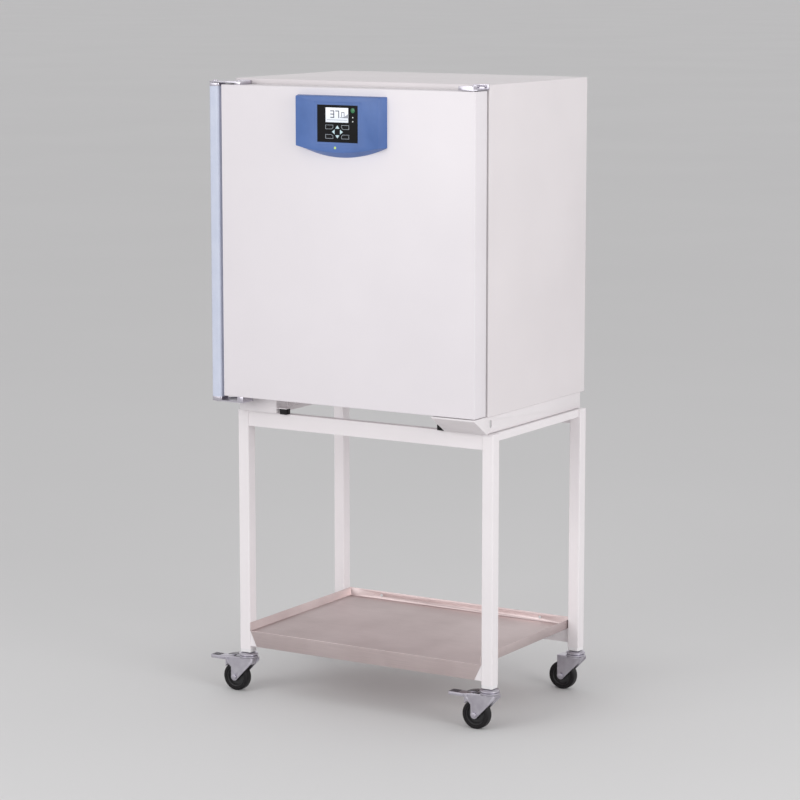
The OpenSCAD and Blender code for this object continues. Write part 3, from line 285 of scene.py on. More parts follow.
for corner in FOUR_CASTORS:
    wheel_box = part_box("castor_wheel_" + corner)
    hub = [(wheel_box[0][i] + wheel_box[1][i]) / 2 for i in range(3)]
    tread = bmesh.new()
    round_tread = [(TREAD_RADIUS - TREAD_ROUND + TREAD_ROUND * math.cos(math.radians(t)),
                    TREAD_HALF - TREAD_ROUND + TREAD_ROUND * math.sin(math.radians(t)))
                   for t in range(90, -1, -15)]
    lathe(tread, hub, [(26.2, 10.6), (27.2, TREAD_HALF), (29.5, TREAD_HALF)] + round_tread[1:]
          + [(r, -y) for r, y in reversed(round_tread[1:])]
          + [(29.5, -TREAD_HALF), (27.2, -TREAD_HALF), (26.2, -10.6)], 72)
    bmesh.ops.recalc_face_normals(tread, faces=tread.faces)
    dress(finished_piece(tread, "tread_" + corner), tread_rubber, "wheel_" + corner, "castor_tyre",
          "castor_wheel_" + corner)
    centre_disc = bmesh.new()
    lathe(centre_disc, hub, CENTRE_HALF + [(r, -y) for r, y in reversed(CENTRE_HALF)], 72)
    bmesh.ops.recalc_face_normals(centre_disc, faces=centre_disc.faces)
    dress(finished_piece(centre_disc, "wheel_centre_" + corner), nylon_centre, "wheel_" + corner,
          "castor_tyre")
    dress(rounded_copy("castor_fork_" + corner, "fork_" + corner, 0.7), castor_zinc, "castor_" + corner,
          "zinc_plate", "castor_fork_" + corner)
    dress(rounded_copy("castor_axle_" + corner, "axle_bolt_" + corner, 0.6), castor_zinc, "castor_" + corner,
          "zinc_plate", "castor_axle_" + corner)
    # The nose: the fork's two cheeks run together in front of the kingpin as one bent web.
    stem = stem_axis(corner)
    nose = bmesh.new()
    grid = []
    for z, x in NOSE_LEVELS:
        row = [(stem[0] + (x - NOSE_BOW * (y / NOSE_HALF) ** 2) / 1000, stem[1] + y / 1000, z / 1000)
               for y in [NOSE_HALF * t / 8 for t in range(-8, 9)]]
        inside = [(place[0] - NOSE_SHEET / 1000, place[1], place[2]) for place in reversed(row)]
        grid.append([nose.verts.new(place) for place in row + inside])
    for one, other in zip(grid, grid[1:]):
        for i in range(len(one)):
            nose.faces.new((one[i], one[(i + 1) % len(one)], other[(i + 1) % len(one)], other[i]))
    nose.faces.new(grid[0])
    nose.faces.new(grid[-1])
    bmesh.ops.recalc_face_normals(nose, faces=nose.faces)
    dress(finished_piece(nose, "fork_nose_" + corner), castor_zinc, "castor_" + corner, "zinc_plate")

# The four swivel heads: two pressed cups with a groove between them, the nut, the stem and the kingpin,
# as (radius, height) in millimetres.
CUPS_AND_STEM = [(0.01, 94), (23.6, 94), (25.4, 94.7), (26, 96.2), (25.7, 98.3), (24.4, 99.4), (22.2, 99.8),
                 (22.2, 100.6), (24.6, 101), (25.5, 102.4), (25.2, 104.6), (23.6, 106.2), (20.5, 107.2),
                 (17, 107.8), (10, 109), (10, 110), (5.5, 110), (5.5, 143.9), (0.01, 143.9)]
KINGPIN = [(0.01, 86.9), (8.4, 86.9), (9, 87.5), (9, 89.9), (5, 89.9), (5, 94.05), (0.01, 94.05)]
heads = bmesh.new()
for corner in FOUR_CASTORS:
    lathe(heads, (*stem_axis(corner), 0), CUPS_AND_STEM, 64, "Z")
    lathe(heads, (*stem_axis(corner), 0), KINGPIN, 40, "Z")
bmesh.ops.remove_doubles(heads, verts=heads.verts, dist=3e-5)
bmesh.ops.recalc_face_normals(heads, faces=heads.faces)
dress(finished_piece(heads, "swivel_heads", 32), castor_zinc, "cabinet_on_stand", "zinc_plate",
      "castor_heads")

# Foot brakes: a ribbed pedal, and the pressed cover between it and the ring. The cover and the pedal's ribs
# are drawn in a darker zinc as painted shade, the cover's dark standing for the shadow under the swivel ring.
zinc_darkened_as_shade = zinc_plate("zinc darkened as painted shade", "#6E6B72", "#5B585F")
RIBS, RIB_PITCH, RIB_HALF_WIDTH, RIB_LENGTH = 6, 0.0042, 0.0009, 0.024   # metres
COVER_OUTLINE = [(-27.5, -12), (-40, -12.5), (-54, -10.5), (-60, -7), (-60, 7), (-54, 10.5), (-40, 12.5),
                 (-27.5, 12)]
COVER_HEIGHT = {-27.5: 99.2, -40: 98.6, -54: 96.4, -60: 95.0}   # it slopes down towards the pedal, mm
for corner in ("fl", "fr"):
    dress(rounded_copy("castor_brake_" + corner, "brake_pedal_" + corner, 1.0), castor_zinc,
          "brake_" + corner, "zinc_plate", "castor_brake_" + corner)
    low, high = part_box("castor_brake_" + corner)
    stem = stem_axis(corner)
    ribs = bmesh.new()
    for i in range(RIBS):
        x = low[0] + 0.004 + RIB_PITCH * i
        for v in bmesh.ops.create_cube(ribs, size=1.0)["verts"]:
            v.co = Vector((x + RIB_HALF_WIDTH * (1 if v.co.x > 0 else -1), stem[1] + v.co.y * RIB_LENGTH,
                           high[2] - 0.0006 + (0.0012 if v.co.z > 0 else 0)))
    # The ribs are drawn in the darker zinc as painted shade.
    dress(finished_piece(ribs, "pedal_ribs_" + corner), zinc_darkened_as_shade, "brake_" + corner, "zinc_plate")
    # The cover's darker zinc is painted shade under the swivel ring.
    cover = bmesh.new()
    upper = [cover.verts.new((stem[0] + x / 1000, stem[1] + y / 1000, (COVER_HEIGHT[x] + 0.8) / 1000))
             for x, y in COVER_OUTLINE]
    under = [cover.verts.new((v.co.x, v.co.y, v.co.z - 0.0016)) for v in upper]
    for i in range(len(upper)):
        j = (i + 1) % len(upper)
        cover.faces.new((upper[i], upper[j], under[j], under[i]))
    for i in range(3):
        for side in (upper, under):
            cover.faces.new((side[i], side[i + 1], side[6 - i], side[7 - i]))
    bmesh.ops.recalc_face_normals(cover, faces=cover.faces)
    dress(finished_piece(cover, "brake_cover_" + corner), zinc_darkened_as_shade, "castor_" + corner, "zinc_plate")

# ---------------------------------------------------------------------------------------------
# Base runners and feet: two folded channels screwed under the cabinet, coated like the stand, with
# a lip at each end that carries a black rubber foot.

runner_coat = powder_coat("light grey powder coat on the base", "#E9E4E6", "#E3DEE0", 0.42)
dress(rounded_copy("base_runners", "runner_channels", 0.8), runner_coat, "cabinet_on_stand",
      "white_stand_coat", "base_runners")
foot_rubber = rubber("black moulded rubber feet", "#242224", "#1A181A", 0.55)
dress(rounded_copy("rubber_feet", "moulded_feet", 1.5, segments=3), foot_rubber, "cabinet_on_stand",
      "black_rubber", "rubber_feet")

# ---------------------------------------------------------------------------------------------
# Cabinet: one coated sheet wrapped round the sides, top and bottom, bent over at the front and the
# rear, with a screwed panel behind. The bends have a 3.5 mm outside radius that catches the light.

cabinet_coat = powder_coat("grey-white powder coat on the cabinet", "#E6E0E2", "#E1DBDD", 0.40)
shell_low, shell_high = (Vector(c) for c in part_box("cabinet_shell"))


def outer_bend(edge):
    """True on the twelve outside edges of the wrapped sheet."""
    hits = 0
    for axis in range(3):
        for side in (shell_low[axis], shell_high[axis]):
            hits += all(abs(v.co[axis] - side) < 1e-5 for v in edge.verts)
    return hits >= 2


dress(rounded_copy("cabinet_shell", "cabinet_wrap", 3.5, outer_bend, segments=4), cabinet_coat,
      "cabinet_on_stand", "white_coated_sheet", "cabinet_shell")
finish_node("cabinet_back", cabinet_coat)

# ---------------------------------------------------------------------------------------------
# Inside: a welded stainless liner in mineral wool, with racks, wire shelves, a perforated floor
# plate over one tubular heating element, a probe, and an exhaust pipe with its flap.

liner_steel = brushed_steel("brushed stainless liner", "#C8C6C5", "#B8B6B5", 0.30, 1.0, 2)
for piece in ("chamber_liner", "chamber_floor_plate", "door_liner"):
    finish_node(piece, liner_steel)
bright_bar = brushed_steel("bright-drawn stainless bar", "#D2D1D0", "#BDBCBB", 0.24, 0.8, 1)
for piece in ("temperature_probe", "shelf_ladders", "wire_shelves", "exhaust_pipe"):
    finish_node(piece, bright_bar)


def heated_sheath(name):
    # A nickel-alloy sheath that has been hot: dark bronze and straw oxide in slow bands.
    material, tree = start_material(name)
    where = add(tree, "ShaderNodeTexCoord").outputs["Object"]
    bands = add(tree, "ShaderNodeTexNoise", {"Scale": 1 / 0.03, "Detail": 4.0}, {"Vector": where})
    ramp = add(tree, "ShaderNodeValToRGB", links={"Fac": bands.outputs[0]})
    ramp.color_ramp.elements[0].color = linear("#3A332F")
    ramp.color_ramp.elements[1].color = linear("#8C7A62")
    shader = add(tree, "ShaderNodeBsdfPrincipled", {"Metallic": 0.9, "Roughness": 0.45},
                 {"Base Color": ramp.outputs[0]})
    add(tree, "ShaderNodeOutputMaterial", links={"Surface": shader.outputs[0]})
    return material


finish_node("heating_element", heated_sheath("heat-tinted alloy sheath"))


def wool(name):
    # Mineral wool: matt straw-coloured fibre in felted layers.
    material, tree = start_material(name)
    where = add(tree, "ShaderNodeTexCoord").outputs["Object"]
    fibre = add(tree, "ShaderNodeTexNoise", {"Scale": 1 / 0.002, "Detail": 6.0, "Distortion": 1.5},
                {"Vector": where})
    bump = add(tree, "ShaderNodeBump", {"Strength": 0.7, "Distance": 0.0006}, {"Height": fibre.outputs[0]})
    shader = add(tree, "ShaderNodeBsdfPrincipled", {"Roughness": 0.95},
                 {"Base Color": two_tone(tree, where, 60, "#C9B67A", "#A8945C"), "Normal": bump.outputs[0]})
    add(tree, "ShaderNodeOutputMaterial", links={"Surface": shader.outputs[0]})
    return material


felted_wool = wool("felted mineral wool")
for piece in ("insulation", "door_insulation"):
    finish_node(piece, felted_wool)
black_moulding = moulded_plastic("black glass-filled nylon", "#232225", "#19181B", 0.4, 0.8)
for piece in ("exhaust_flap", "mains_inlet"):
    finish_node(piece, black_moulding)

# ---------------------------------------------------------------------------------------------
# Inner glass door: one toughened pane held by stainless clips, turning on two small pins.


def clear_glass(name):
    # Float glass: clear, with a faint green body and the very slight ripple of the float line.
    material, tree = start_material(name)
    where = add(tree, "ShaderNodeTexCoord").outputs["Object"]
    ripple = add(tree, "ShaderNodeTexNoise", {"Scale": 4.0, "Detail": 1.0}, {"Vector": where})
    bump = add(tree, "ShaderNodeBump", {"Strength": 0.05, "Distance": 0.0002}, {"Height": ripple.outputs[0]})
    shader = add(tree, "ShaderNodeBsdfPrincipled",
                 {"IOR": 1.52, "Roughness": 0.02, "Transmission Weight": 1.0,
                  "Base Color": linear("#EAF6F1")},
                 {"Normal": bump.outputs[0]})
    add(tree, "ShaderNodeOutputMaterial", links={"Surface": shader.outputs[0]})
    return material


dress(rounded_copy("glass_door", "toughened_pane", 0.8), clear_glass("toughened float glass"),
      "inner_glass_door", "clear_glass", "glass_door")
finish_node("glass_fittings", bright_bar)

# ---------------------------------------------------------------------------------------------
# Outer door: a folded and coated skin over wool with a stainless inner panel, and a silicone
# gasket pushed into a channel round the inside.

door_coat = powder_coat("grey-white powder coat on the door", "#E9E4E8", "#E5E0E4", 0.38)
shell_low, shell_high = (Vector(c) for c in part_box("door_skin"))
dress(rounded_copy("door_skin", "door_skin_folded", 2.2, outer_bend, segments=3), door_coat, "outer_door",
      "white_door_coat", "door_skin")
# The gasket is drawn lighter than its dark grey silicone so that the shadow gap round the door reads lighter:
# painted light.
gasket_rubber_lightened_gap = rubber("grey silicone gasket", "#A3A3A6", "#98989B", 0.5, 1.2)
dress(rounded_copy("door_gasket", "silicone_gasket", 2.5, segments=3), gasket_rubber_lightened_gap, "outer_door",
      "grey_gasket", "door_gasket")

# ---------------------------------------------------------------------------------------------
# Hinges, pintles and catch: zinc-plated steel and die-cast ends; the lower hinge is a folded wedge
# coated like the base.

dress(rounded_copy("hinge_plate", "top_hinge_angle", 0.8), castor_zinc, "cabinet_on_stand", "zinc_plate",
      "hinge_plate")
dress(rounded_copy("hinge_bracket", "lower_hinge_wedge", 1.2), runner_coat, "cabinet_on_stand",
      "white_stand_coat", "hinge_bracket")
for piece in ("hinge_pins", "latch_keepers"):
    finish_node(piece, castor_zinc)
dress(rounded_copy("handle_pintles", "pintle_plates", 0.7), castor_zinc, "outer_door", "zinc_plate",
      "handle_pintles")

# ---------------------------------------------------------------------------------------------
# Handle: a full-height hollow moulding in pale blue, with a die-cast end and hook at each end.

handle_plastic = moulded_plastic("pale blue moulded plastic", "#CDD3E4", "#C5CCDF", 0.26, 1.0)
finish_node("handle_bar", handle_plastic)
dress(rounded_copy("handle_ends", "die_cast_ends", 0.8), castor_zinc, "handle", "zinc_plate", "handle_ends")

# ---------------------------------------------------------------------------------------------
# Control housing: a moulded blue ABS cover screwed to the door, with sloped ends, an arched lower
# edge with a chin facet, and a shallow sunk field round the keypad.

MIDDLE = (-43.5, 231.35)   # the footprint's middle in the maker's layout used for the sizes below, mm
HOUSING_BACK, HOUSING_FRONT = -66.0, -91.0
CONTROL_X = -6.5   # the control group's middle in the same layout, mm
PANEL = (CONTROL_X - 59, 1468.5, CONTROL_X + 59, 1560.5)   # keypad panel: left, bottom, right, top, mm


def at(x, y, z):
    """A place in the maker's layout, in millimetres, as a place in the model."""
    return Vector(((x - MIDDLE[0]) / 1000, (y - MIDDLE[1]) / 1000, z / 1000))


def housing_outline(y, left, right, top, low, sag, cut):
    """Points round the housing at one depth: cut top corners and an arched lower edge."""
    points = [(left, top - cut), (left + cut, top), (right - cut, top), (right, top - cut)]
    steps = 40
    for i in range(steps + 1):
        s = 1 - 2 * i / steps
        points.append((left + (right - left) * (s + 1) / 2, low - sag * (1 - s * s)))
    return [at(x, y, z) for x, z in points]


def rectangle(y, left, low, right, top):
    return [at(x, y, z) for x, z in ((left, low), (right, low), (right, top), (left, top))]


def ring(work, points):
    return [work.verts.new(p) for p in points]


def wall(work, one, other):
    """Faces between two rings with the same number of points."""
    for i in range(len(one)):
        j = (i + 1) % len(one)
        work.faces.new((one[i], one[j], other[j], other[i]))


def field(work, outer, inner):
    """A flat face with a hole, between two rings in one plane."""
    edges = []
    for loop in (outer, inner):
        for i in range(len(loop)):
            pair = (loop[i], loop[(i + 1) % len(loop)])
            edges.append(work.edges.get(pair) or work.edges.new(pair))
    bmesh.ops.triangle_fill(work, use_beauty=True, use_dissolve=False, edges=edges)


cover = bmesh.new()
back_ring = ring(cover, housing_outline(HOUSING_BACK, CONTROL_X - 133, CONTROL_X + 129, 1582.5, 1457.5,
                                        28, 1.2))
front_ring = ring(cover, housing_outline(HOUSING_FRONT, CONTROL_X - 123, CONTROL_X + 119, 1581.0, 1457.5,
                                         14, 1.8))
wall(cover, back_ring, front_ring)
sunk_out = ring(cover, rectangle(HOUSING_FRONT, PANEL[0] - 9, PANEL[1] - 7, PANEL[2] + 9, PANEL[3] + 7))
sunk_in = ring(cover, rectangle(HOUSING_FRONT + 0.5, PANEL[0] - 8, PANEL[1] - 6, PANEL[2] + 8, PANEL[3] + 6))
pocket_top = ring(cover, rectangle(HOUSING_FRONT + 0.5, *PANEL))
pocket_low = ring(cover, rectangle(HOUSING_FRONT + 3.1, *PANEL))
field(cover, front_ring, sunk_out)
wall(cover, sunk_out, sunk_in)
field(cover, sunk_in, pocket_top)
wall(cover, pocket_top, pocket_low)
cover.faces.new(pocket_low)
cover.faces.new(back_ring)
bmesh.ops.recalc_face_normals(cover, faces=cover.faces)
rim = [e for e in cover.edges if all(v in set(front_ring) for v in e.verts) and e.calc_face_angle(0) > 0.3]
slopes = [e for e in cover.edges if e.calc_face_angle(0) > 0.5 and e not in rim
          and any(v in set(front_ring) for v in e.verts) and any(v in set(back_ring) for v in e.verts)]
bmesh.ops.bevel(cover, geom=rim + slopes, offset=0.0007, segments=2, profile=0.5, affect="EDGES",
                clamp_overlap=True)
blue_abs = moulded_plastic("blue moulded ABS", "#4E70B0", "#4768A6", 0.40, 1.2)
dress(finished_piece(cover, "control_cover", 25), blue_abs, "outer_door", "blue_plastic", "control_housing")

# ---------------------------------------------------------------------------------------------
# Keypad: a black membrane panel with a pale display behind a clear window, a green power key, four
# arrow keys and four outlined soft keys, all of them separate caps that press in half a millimetre.

black_film = moulded_plastic("black gloss polyester film", "#0E0E11", "#0A0A0C", 0.42, 2.5, 0.00001, 0.12)
finish_node("keypad_panel", black_film)


def lit_display(name, top, bottom):
    # A backlit display: even pale light, a touch bluer and darker towards its lower edge.
    material, tree = start_material(name)
    where = add(tree, "ShaderNodeTexCoord").outputs["Object"]
    split = add(tree, "ShaderNodeSeparateXYZ", links={0: where})
    up = add(tree, "ShaderNodeMapRange", {"From Min": 1.518, "From Max": 1.554}, {"Value": split.outputs[2]})
    cells = add(tree, "ShaderNodeTexVoronoi", {"Scale": 1 / 0.001, "Randomness": 0.0}, {"Vector": where})
    shade = add(tree, "ShaderNodeMapRange", {"To Min": 1.0, "To Max": 0.94}, {"Value": cells.outputs[0]})
    glow = add(tree, "ShaderNodeMix", {"data_type": "RGBA", 6: linear(bottom), 7: linear(top)},
               {0: up.outputs[0]})
    mesh_tone = add(tree, "ShaderNodeMix", {"data_type": "RGBA", "blend_type": "MULTIPLY", 0: 1.0},
                    {6: glow.outputs[2], 7: shade.outputs[0]})
    shader = add(tree, "ShaderNodeBsdfPrincipled", {"Roughness": 0.3, "Emission Strength": 0.2},
                 {"Base Color": mesh_tone.outputs[2], "Emission Color": mesh_tone.outputs[2]})
    add(tree, "ShaderNodeOutputMaterial", links={"Surface": shader.outputs[0]})
    return material


finish_node("display", lit_display("backlit display", "#F2F4F8", "#DDE4EE"))

SEGMENTS = {"0": "abcdef", "3": "abcdg", "7": "abc"}
STROKES = {"a": (0, 2, 1, 2), "b": (1, 1, 1, 2), "c": (1, 0, 1, 1), "d": (0, 0, 1, 0), "e": (0, 0, 0, 1),
           "f": (0, 1, 0, 2), "g": (0, 1, 1, 1)}


def slab(work, x0, x1, y0, y1, z0, z1):
    """A plain bar of a readout or a frame between two corners, mm."""
    made = bmesh.ops.create_cube(work, size=1.0)["verts"]
    low, high = at(x0, y0, z0), at(x1, y1, z1)
    for v in made:
        v.co = Vector([low[i] if v.co[i] < 0 else high[i] for i in range(3)])


READOUT_DEPTH = (-91.42, -91.3)   # front and back of the printed marks, mm
readout = bmesh.new()
digit_wide, digit_half, stroke = 9.0, 8.0, 2.2
left = CONTROL_X - 19
for figure in "37":
    for name in SEGMENTS[figure]:
        x0, z0, x1, z1 = STROKES[name]
        slab(readout, left + x0 * digit_wide - stroke / 2, left + x1 * digit_wide + stroke / 2,
             *READOUT_DEPTH,
             1530 + z0 * digit_half - stroke / 2, 1530 + z1 * digit_half + stroke / 2)
    left += digit_wide + 5.5
slab(readout, left - 2.0, left, *READOUT_DEPTH, 1529.2, 1531.2)
left += 3.0
for name in SEGMENTS["0"]:
    x0, z0, x1, z1 = STROKES[name]
    slab(readout, left + x0 * digit_wide * 0.8 - 0.7, left + x1 * digit_wide * 0.8 + 0.7, *READOUT_DEPTH,
         1530 + z0 * digit_half * 0.8 - 0.7, 1530 + z1 * digit_half * 0.8 + 0.7)
for level, high in enumerate((3, 5, 7, 9)):
    x = CONTROL_X + 20 + 3 * level
    slab(readout, x, x + 1.8, *READOUT_DEPTH, 1529, 1529 + high)
slab(readout, CONTROL_X - 30, CONTROL_X + 28, *READOUT_DEPTH, 1523.6, 1524.3)
dress(finished_piece(readout, "display_readout"),
      moulded_plastic("dark liquid-crystal segments", "#262A52", "#1F2347", 0.3, 1.0, 0.00001), "outer_door",
      "dark_key")

cyan_cap = moulded_plastic("pale cyan key cap", "#CFE8EE", "#BEDEE6", 0.34, 0.8, 0.00002)
green_cap = moulded_plastic("green key cap", "#2F7D4E", "#287346", 0.3, 0.8, 0.00002)
dark_cap = moulded_plastic("charcoal key cap", "#101114", "#0B0C0E", 0.42, 0.8, 0.00002, 0.12)
for key in ("up_key", "down_key", "left_key", "right_key"):
    dress(rounded_copy(key, key + "_cap", 0.35), cyan_cap, key, "cyan_key", key)
dress(rounded_copy("power_key", "power_key_cap", 0.5), green_cap, "power_key", "green_key", "power_key")
soft_corners = [(16, 6.5), (34.5, 6.5), (34.5, 17), (12, 17), (12, 10.5)]
silver_print = moulded_plastic("silver-grey printed outline", "#A9B2BA", "#9AA4AD", 0.35, 0.8, 0.00001)
for key, side, rise in (("upper_left_key", -1, 1), ("upper_right_key", 1, 1), ("lower_left_key", -1, -1),
                        ("lower_right_key", 1, -1)):
    middle = (sum(p[0] for p in soft_corners) / 5, sum(p[1] for p in soft_corners) / 5)

    def corner_ring(work, y, shrink):
        return ring(work, [at(CONTROL_X + side * (x + (middle[0] - x) * shrink / 9), y,
                              1494.5 + rise * (z + (middle[1] - z) * shrink / 5)) for x, z in soft_corners])

    cap = bmesh.new()
    rings = [corner_ring(cap, -89.3, 0), corner_ring(cap, -91.35, 0), corner_ring(cap, -91.35, 1.0)]
    wall(cap, rings[0], rings[1])
    wall(cap, rings[1], rings[2])
    cap.faces.new(rings[2])
    cap.faces.new(rings[0])
    bmesh.ops.recalc_face_normals(cap, faces=cap.faces)
    dress(finished_piece(cap, key + "_cap"), dark_cap, key, "dark_key", key)
    outline = bmesh.new()
    rings = [corner_ring(outline, -91.35, 0), corner_ring(outline, -91.5, 0),
             corner_ring(outline, -91.5, 0.8), corner_ring(outline, -91.35, 0.8)]
    for i in range(4):
        wall(outline, rings[i], rings[(i + 1) % 4])
    bmesh.ops.recalc_face_normals(outline, faces=outline.faces)
    dress(finished_piece(outline, key + "_outline"), silver_print, key, "dark_key")


def glowing_lens(name, colour, strength):
    # A small lit lens of tinted acrylic: brighter where the lamp sits behind it. On the unlit lenses the same
    # glow is painted light.
    material, tree = start_material(name)
    where = add(tree, "ShaderNodeTexCoord").outputs["Object"]
    prism = add(tree, "ShaderNodeTexVoronoi", {"Scale": 1 / 0.0015}, {"Vector": where})
    glow = add(tree, "ShaderNodeMapRange", {"To Min": 0.7, "To Max": 1.0}, {"Value": prism.outputs[0]})
    tint = add(tree, "ShaderNodeMix",
               {"data_type": "RGBA", "blend_type": "MULTIPLY", 0: 1.0, 6: linear(colour)},
               {7: glow.outputs[0]})
    shader = add(tree, "ShaderNodeBsdfPrincipled", {"Roughness": 0.12, "Emission Strength": strength},
                 {"Base Color": tint.outputs[2], "Emission Color": tint.outputs[2]})
    add(tree, "ShaderNodeOutputMaterial", links={"Surface": shader.outputs[0]})
    return material


def lens(name, x, z, base, radius, rise, material):
    """A small domed lens on the front, base on the surface at y = base."""
    dome = bmesh.new()
    profile = [(radius, 0.6), (radius, -0.1)]
    profile += [(radius * math.cos(math.radians(t)), -0.1 - rise * math.sin(math.radians(t)))
                for t in (25, 50, 70)]
    rings = []
    for r, y in profile:
        turns = [math.radians(a) for a in range(0, 360, 15)]
        rings.append(ring(dome, [at(x + r * math.cos(a), base + y, z + r * math.sin(a)) for a in turns]))
    for one, other in zip(rings, rings[1:]):
        wall(dome, one, other)
    dome.faces.new(rings[0])
    dome.faces.new(rings[-1])
    bmesh.ops.recalc_face_normals(dome, faces=dome.faces)
    dress(finished_piece(dome, name), material, "outer_door", "green_key")


green_lens = glowing_lens("yellow-green tinted lens", "#B9D66A", 0.35)
lens("running_lamp", CONTROL_X - 7, 1455, -91.0, 3.2, 0.35, green_lens)
# The heating and alarm lenses are unlit: their faint glow is painted light.
unlit_lens_painted_glow = glowing_lens("milky unlit lens with painted glow", "#DCE2E0", 0.12)
lens("heating_lamp", CONTROL_X + 45, 1531, -91.0, 1.8, 0.3, unlit_lens_painted_glow)
lens("alarm_lamp", CONTROL_X + 45, 1521, -91.0, 1.8, 0.3, unlit_lens_painted_glow)

# ---------------------------------------------------------------------------------------------
# Screws: one pan-headed cross-recess screw, repeated at every fixing on the rear panel and on the
# top hinge.

screw_head = bmesh.new()
rings = []
for r, y in ((1.9, 1.9), (3.2, 1.4), (4.0, 0.5), (4.0, 0.0), (2.0, 0.0), (2.0, -2.4)):
    rings.append([screw_head.verts.new((r / 1000 * math.cos(math.radians(a)), y / 1000,
                                        r / 1000 * math.sin(math.radians(a)))) for a in range(0, 360, 20)])
for one, other in zip(rings, rings[1:]):
    wall(screw_head, one, other)
screw_head.faces.new(rings[-1])
slot_points = [(2.0, 0.35), (0.35, 0.35), (0.35, 2.0), (-0.35, 2.0), (-0.35, 0.35), (-2.0, 0.35),
               (-2.0, -0.35), (-0.35, -0.35), (-0.35, -2.0), (0.35, -2.0), (0.35, -0.35), (2.0, -0.35)]
cross_top = ring(screw_head, [Vector((x * 0.8 / 1000, 1.9 / 1000, z * 0.8 / 1000)) for x, z in slot_points])
cross_low = ring(screw_head, [Vector((x * 0.6 / 1000, 0.7 / 1000, z * 0.6 / 1000)) for x, z in slot_points])
field(screw_head, rings[0], cross_top)
wall(screw_head, cross_top, cross_low)
screw_head.faces.new(cross_low)
bmesh.ops.recalc_face_normals(screw_head, faces=screw_head.faces)
one_screw = finished_piece(screw_head, "one_screw")


def repeat_at_points(name, places, shape, material, socket_values):
    """Geometry Nodes: puts one shape at every point of a mesh, turned and sized by named inputs."""
    tree = bpy.data.node_groups.new(name + "_tree", "GeometryNodeTree")
    face = tree.interface
    face.new_socket("Geometry", in_out="INPUT", socket_type="NodeSocketGeometry")
    sockets = {"Shape": face.new_socket("Shape", in_out="INPUT", socket_type="NodeSocketObject"),
               "Turn": face.new_socket("Turn", in_out="INPUT", socket_type="NodeSocketRotation"),
               "Size": face.new_socket("Size", in_out="INPUT", socket_type="NodeSocketFloat"),
               "Finish": face.new_socket("Finish", in_out="INPUT", socket_type="NodeSocketMaterial")}
    face.new_socket("Geometry", in_out="OUTPUT", socket_type="NodeSocketGeometry")
    source = add(tree, "NodeGroupInput")
    shape_in = add(tree, "GeometryNodeObjectInfo", links={"Object": source.outputs["Shape"]})
    copies = add(tree, "GeometryNodeInstanceOnPoints", links={
        "Points": source.outputs["Geometry"], "Instance": shape_in.outputs["Geometry"],
        "Rotation": source.outputs["Turn"], "Scale": source.outputs["Size"]})
    solid = add(tree, "GeometryNodeRealizeInstances", links={"Geometry": copies.outputs[0]})
    painted = add(tree, "GeometryNodeSetMaterial", links={"Geometry": solid.outputs[0],
                                                          "Material": source.outputs["Finish"]})
    add(tree, "NodeGroupOutput", links={"Geometry": painted.outputs[0]})
    mesh = bpy.data.meshes.new(name + "_places")
    mesh.from_pydata([tuple(p) for p in places], [], [])
    made = bpy.data.objects.new(name, mesh)
    bpy.context.scene.collection.objects.link(made)
    grow = made.modifiers.new("grow", "NODES")
    grow.node_group = tree
    for key, value in dict(socket_values, Shape=shape, Finish=material).items():
        grow[sockets[key].identifier] = value
    return settled(made)


def settled(made):
    """The plain mesh that a piece's nodes give, with the modifier taken off."""
    plain = bpy.data.meshes.new_from_object(made.evaluated_get(bpy.context.evaluated_depsgraph_get()))
    made.modifiers.clear()
    made.data = plain
    plain.set_sharp_from_angle(angle=math.radians(40))
    return made


panel_fixings = [at(x, 512.2, z) for x in (-357.5, 0, 357.5) for z in (814, 1601)]
panel_fixings += [at(x, 512.2, 799 + 817 * third) for x in (-357.5, 357.5) for third in (1 / 3, 2 / 3)]
rear = repeat_at_points("rear_panel_screws", panel_fixings, one_screw, castor_zinc, {"Size": 1.0})
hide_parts("screws")
hinge_fixings = [at(x, -2.5, 1611) for x in (342, 363)]
front = repeat_at_points("hinge_screws", hinge_fixings, one_screw, castor_zinc,
                         {"Size": 1.0, "Turn": (0.0, 0.0, math.pi)})
for made in (rear, front):
    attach(made, "cabinet_on_stand")
bpy.data.objects.remove(one_screw)

# ---------------------------------------------------------------------------------------------
# Floor, light and camera.

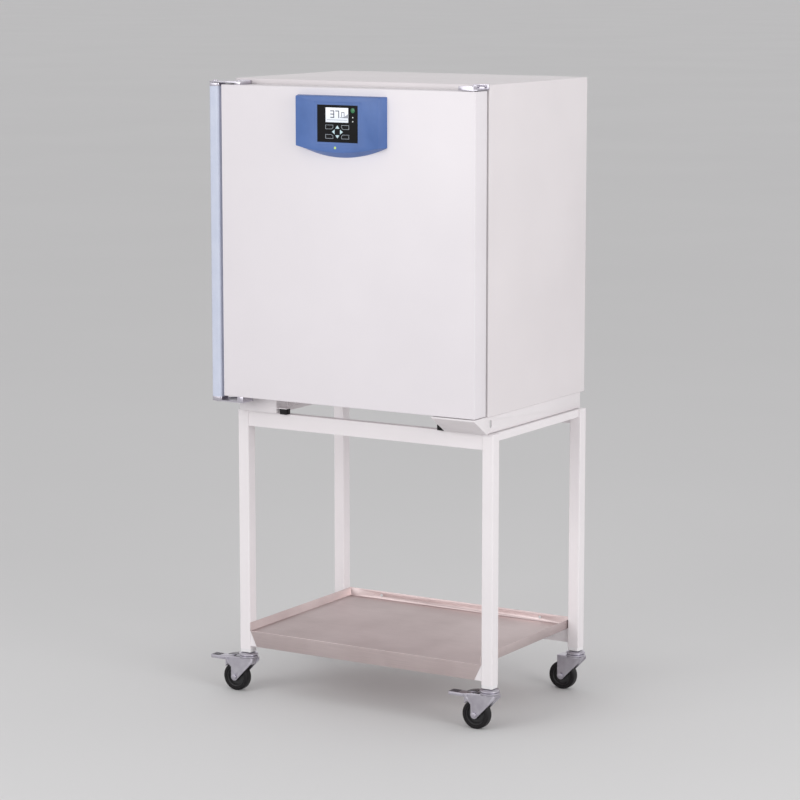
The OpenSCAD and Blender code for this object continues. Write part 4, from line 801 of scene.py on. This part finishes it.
floor_mesh = bpy.data.meshes.new("studio_floor")
floor_mesh.from_pydata([(-400, -400, 0), (400, -400, 0), (400, 400, 0), (-400, 400, 0)], [], [(0, 1, 2, 3)])
floor = bpy.data.objects.new("studio_floor", floor_mesh)
bpy.context.scene.collection.objects.link(floor)
floor_paint, tree = start_material("matt pale studio floor")
where = add(tree, "ShaderNodeTexCoord").outputs["Object"]
shader = add(tree, "ShaderNodeBsdfPrincipled", {"Roughness": 0.75},
             {"Base Color": two_tone(tree, where, 0.4, "#DFDFDF", "#DDDDDD")})
add(tree, "ShaderNodeOutputMaterial", links={"Surface": shader.outputs[0]})
floor_mesh.materials.append(floor_paint)
floor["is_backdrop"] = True

world = bpy.data.worlds.new("studio")
bpy.context.scene.world = world
world.use_nodes = True
sky = world.node_tree
up = add(sky, "ShaderNodeSeparateXYZ", links={0: add(sky, "ShaderNodeTexCoord").outputs["Generated"]})
band = add(sky, "ShaderNodeMapRange", {"interpolation_type": "SMOOTHSTEP", "From Min": 0.0, "From Max": 0.9,
                                       "To Min": 1.0, "To Max": 0.62}, {"Value": up.outputs[2]})
sky.nodes["Background"].inputs[0].default_value = linear("#F6F5F6")
sky.links.new(band.outputs[0], sky.nodes["Background"].inputs[1])


def softbox(name, place, aim, wide, high, watts):
    lamp = bpy.data.lights.new(name, "AREA")
    lamp.shape, lamp.size, lamp.size_y, lamp.energy = "RECTANGLE", wide, high, watts
    holder = bpy.data.objects.new(name, lamp)
    bpy.context.scene.collection.objects.link(holder)
    holder.location = place
    holder.rotation_euler = (Vector(aim) - Vector(place)).to_track_quat("-Z", "Y").to_euler()


softbox("front softbox", (-1.6, -4.6, 2.3), (0, 0, 0.9), 2.6, 2.6, 62)
softbox("right softbox", (4.6, -1.4, 2.0), (0, 0, 0.9), 2.2, 2.4, 66)

lens_data = bpy.data.cameras.new("camera")
lens_data.sensor_width, lens_data.lens = 36.0, 127.4
lens_data.clip_end = 900
camera = bpy.data.objects.new("camera", lens_data)
bpy.context.scene.collection.objects.link(camera)
camera.location = at(3763, -5984, 1934.5)
camera.rotation_euler = (math.radians(90 - 9.008), 0, math.radians(31.34))
bpy.context.scene.camera = camera
bpy.context.scene.view_settings.view_transform = "Standard"

low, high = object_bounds()
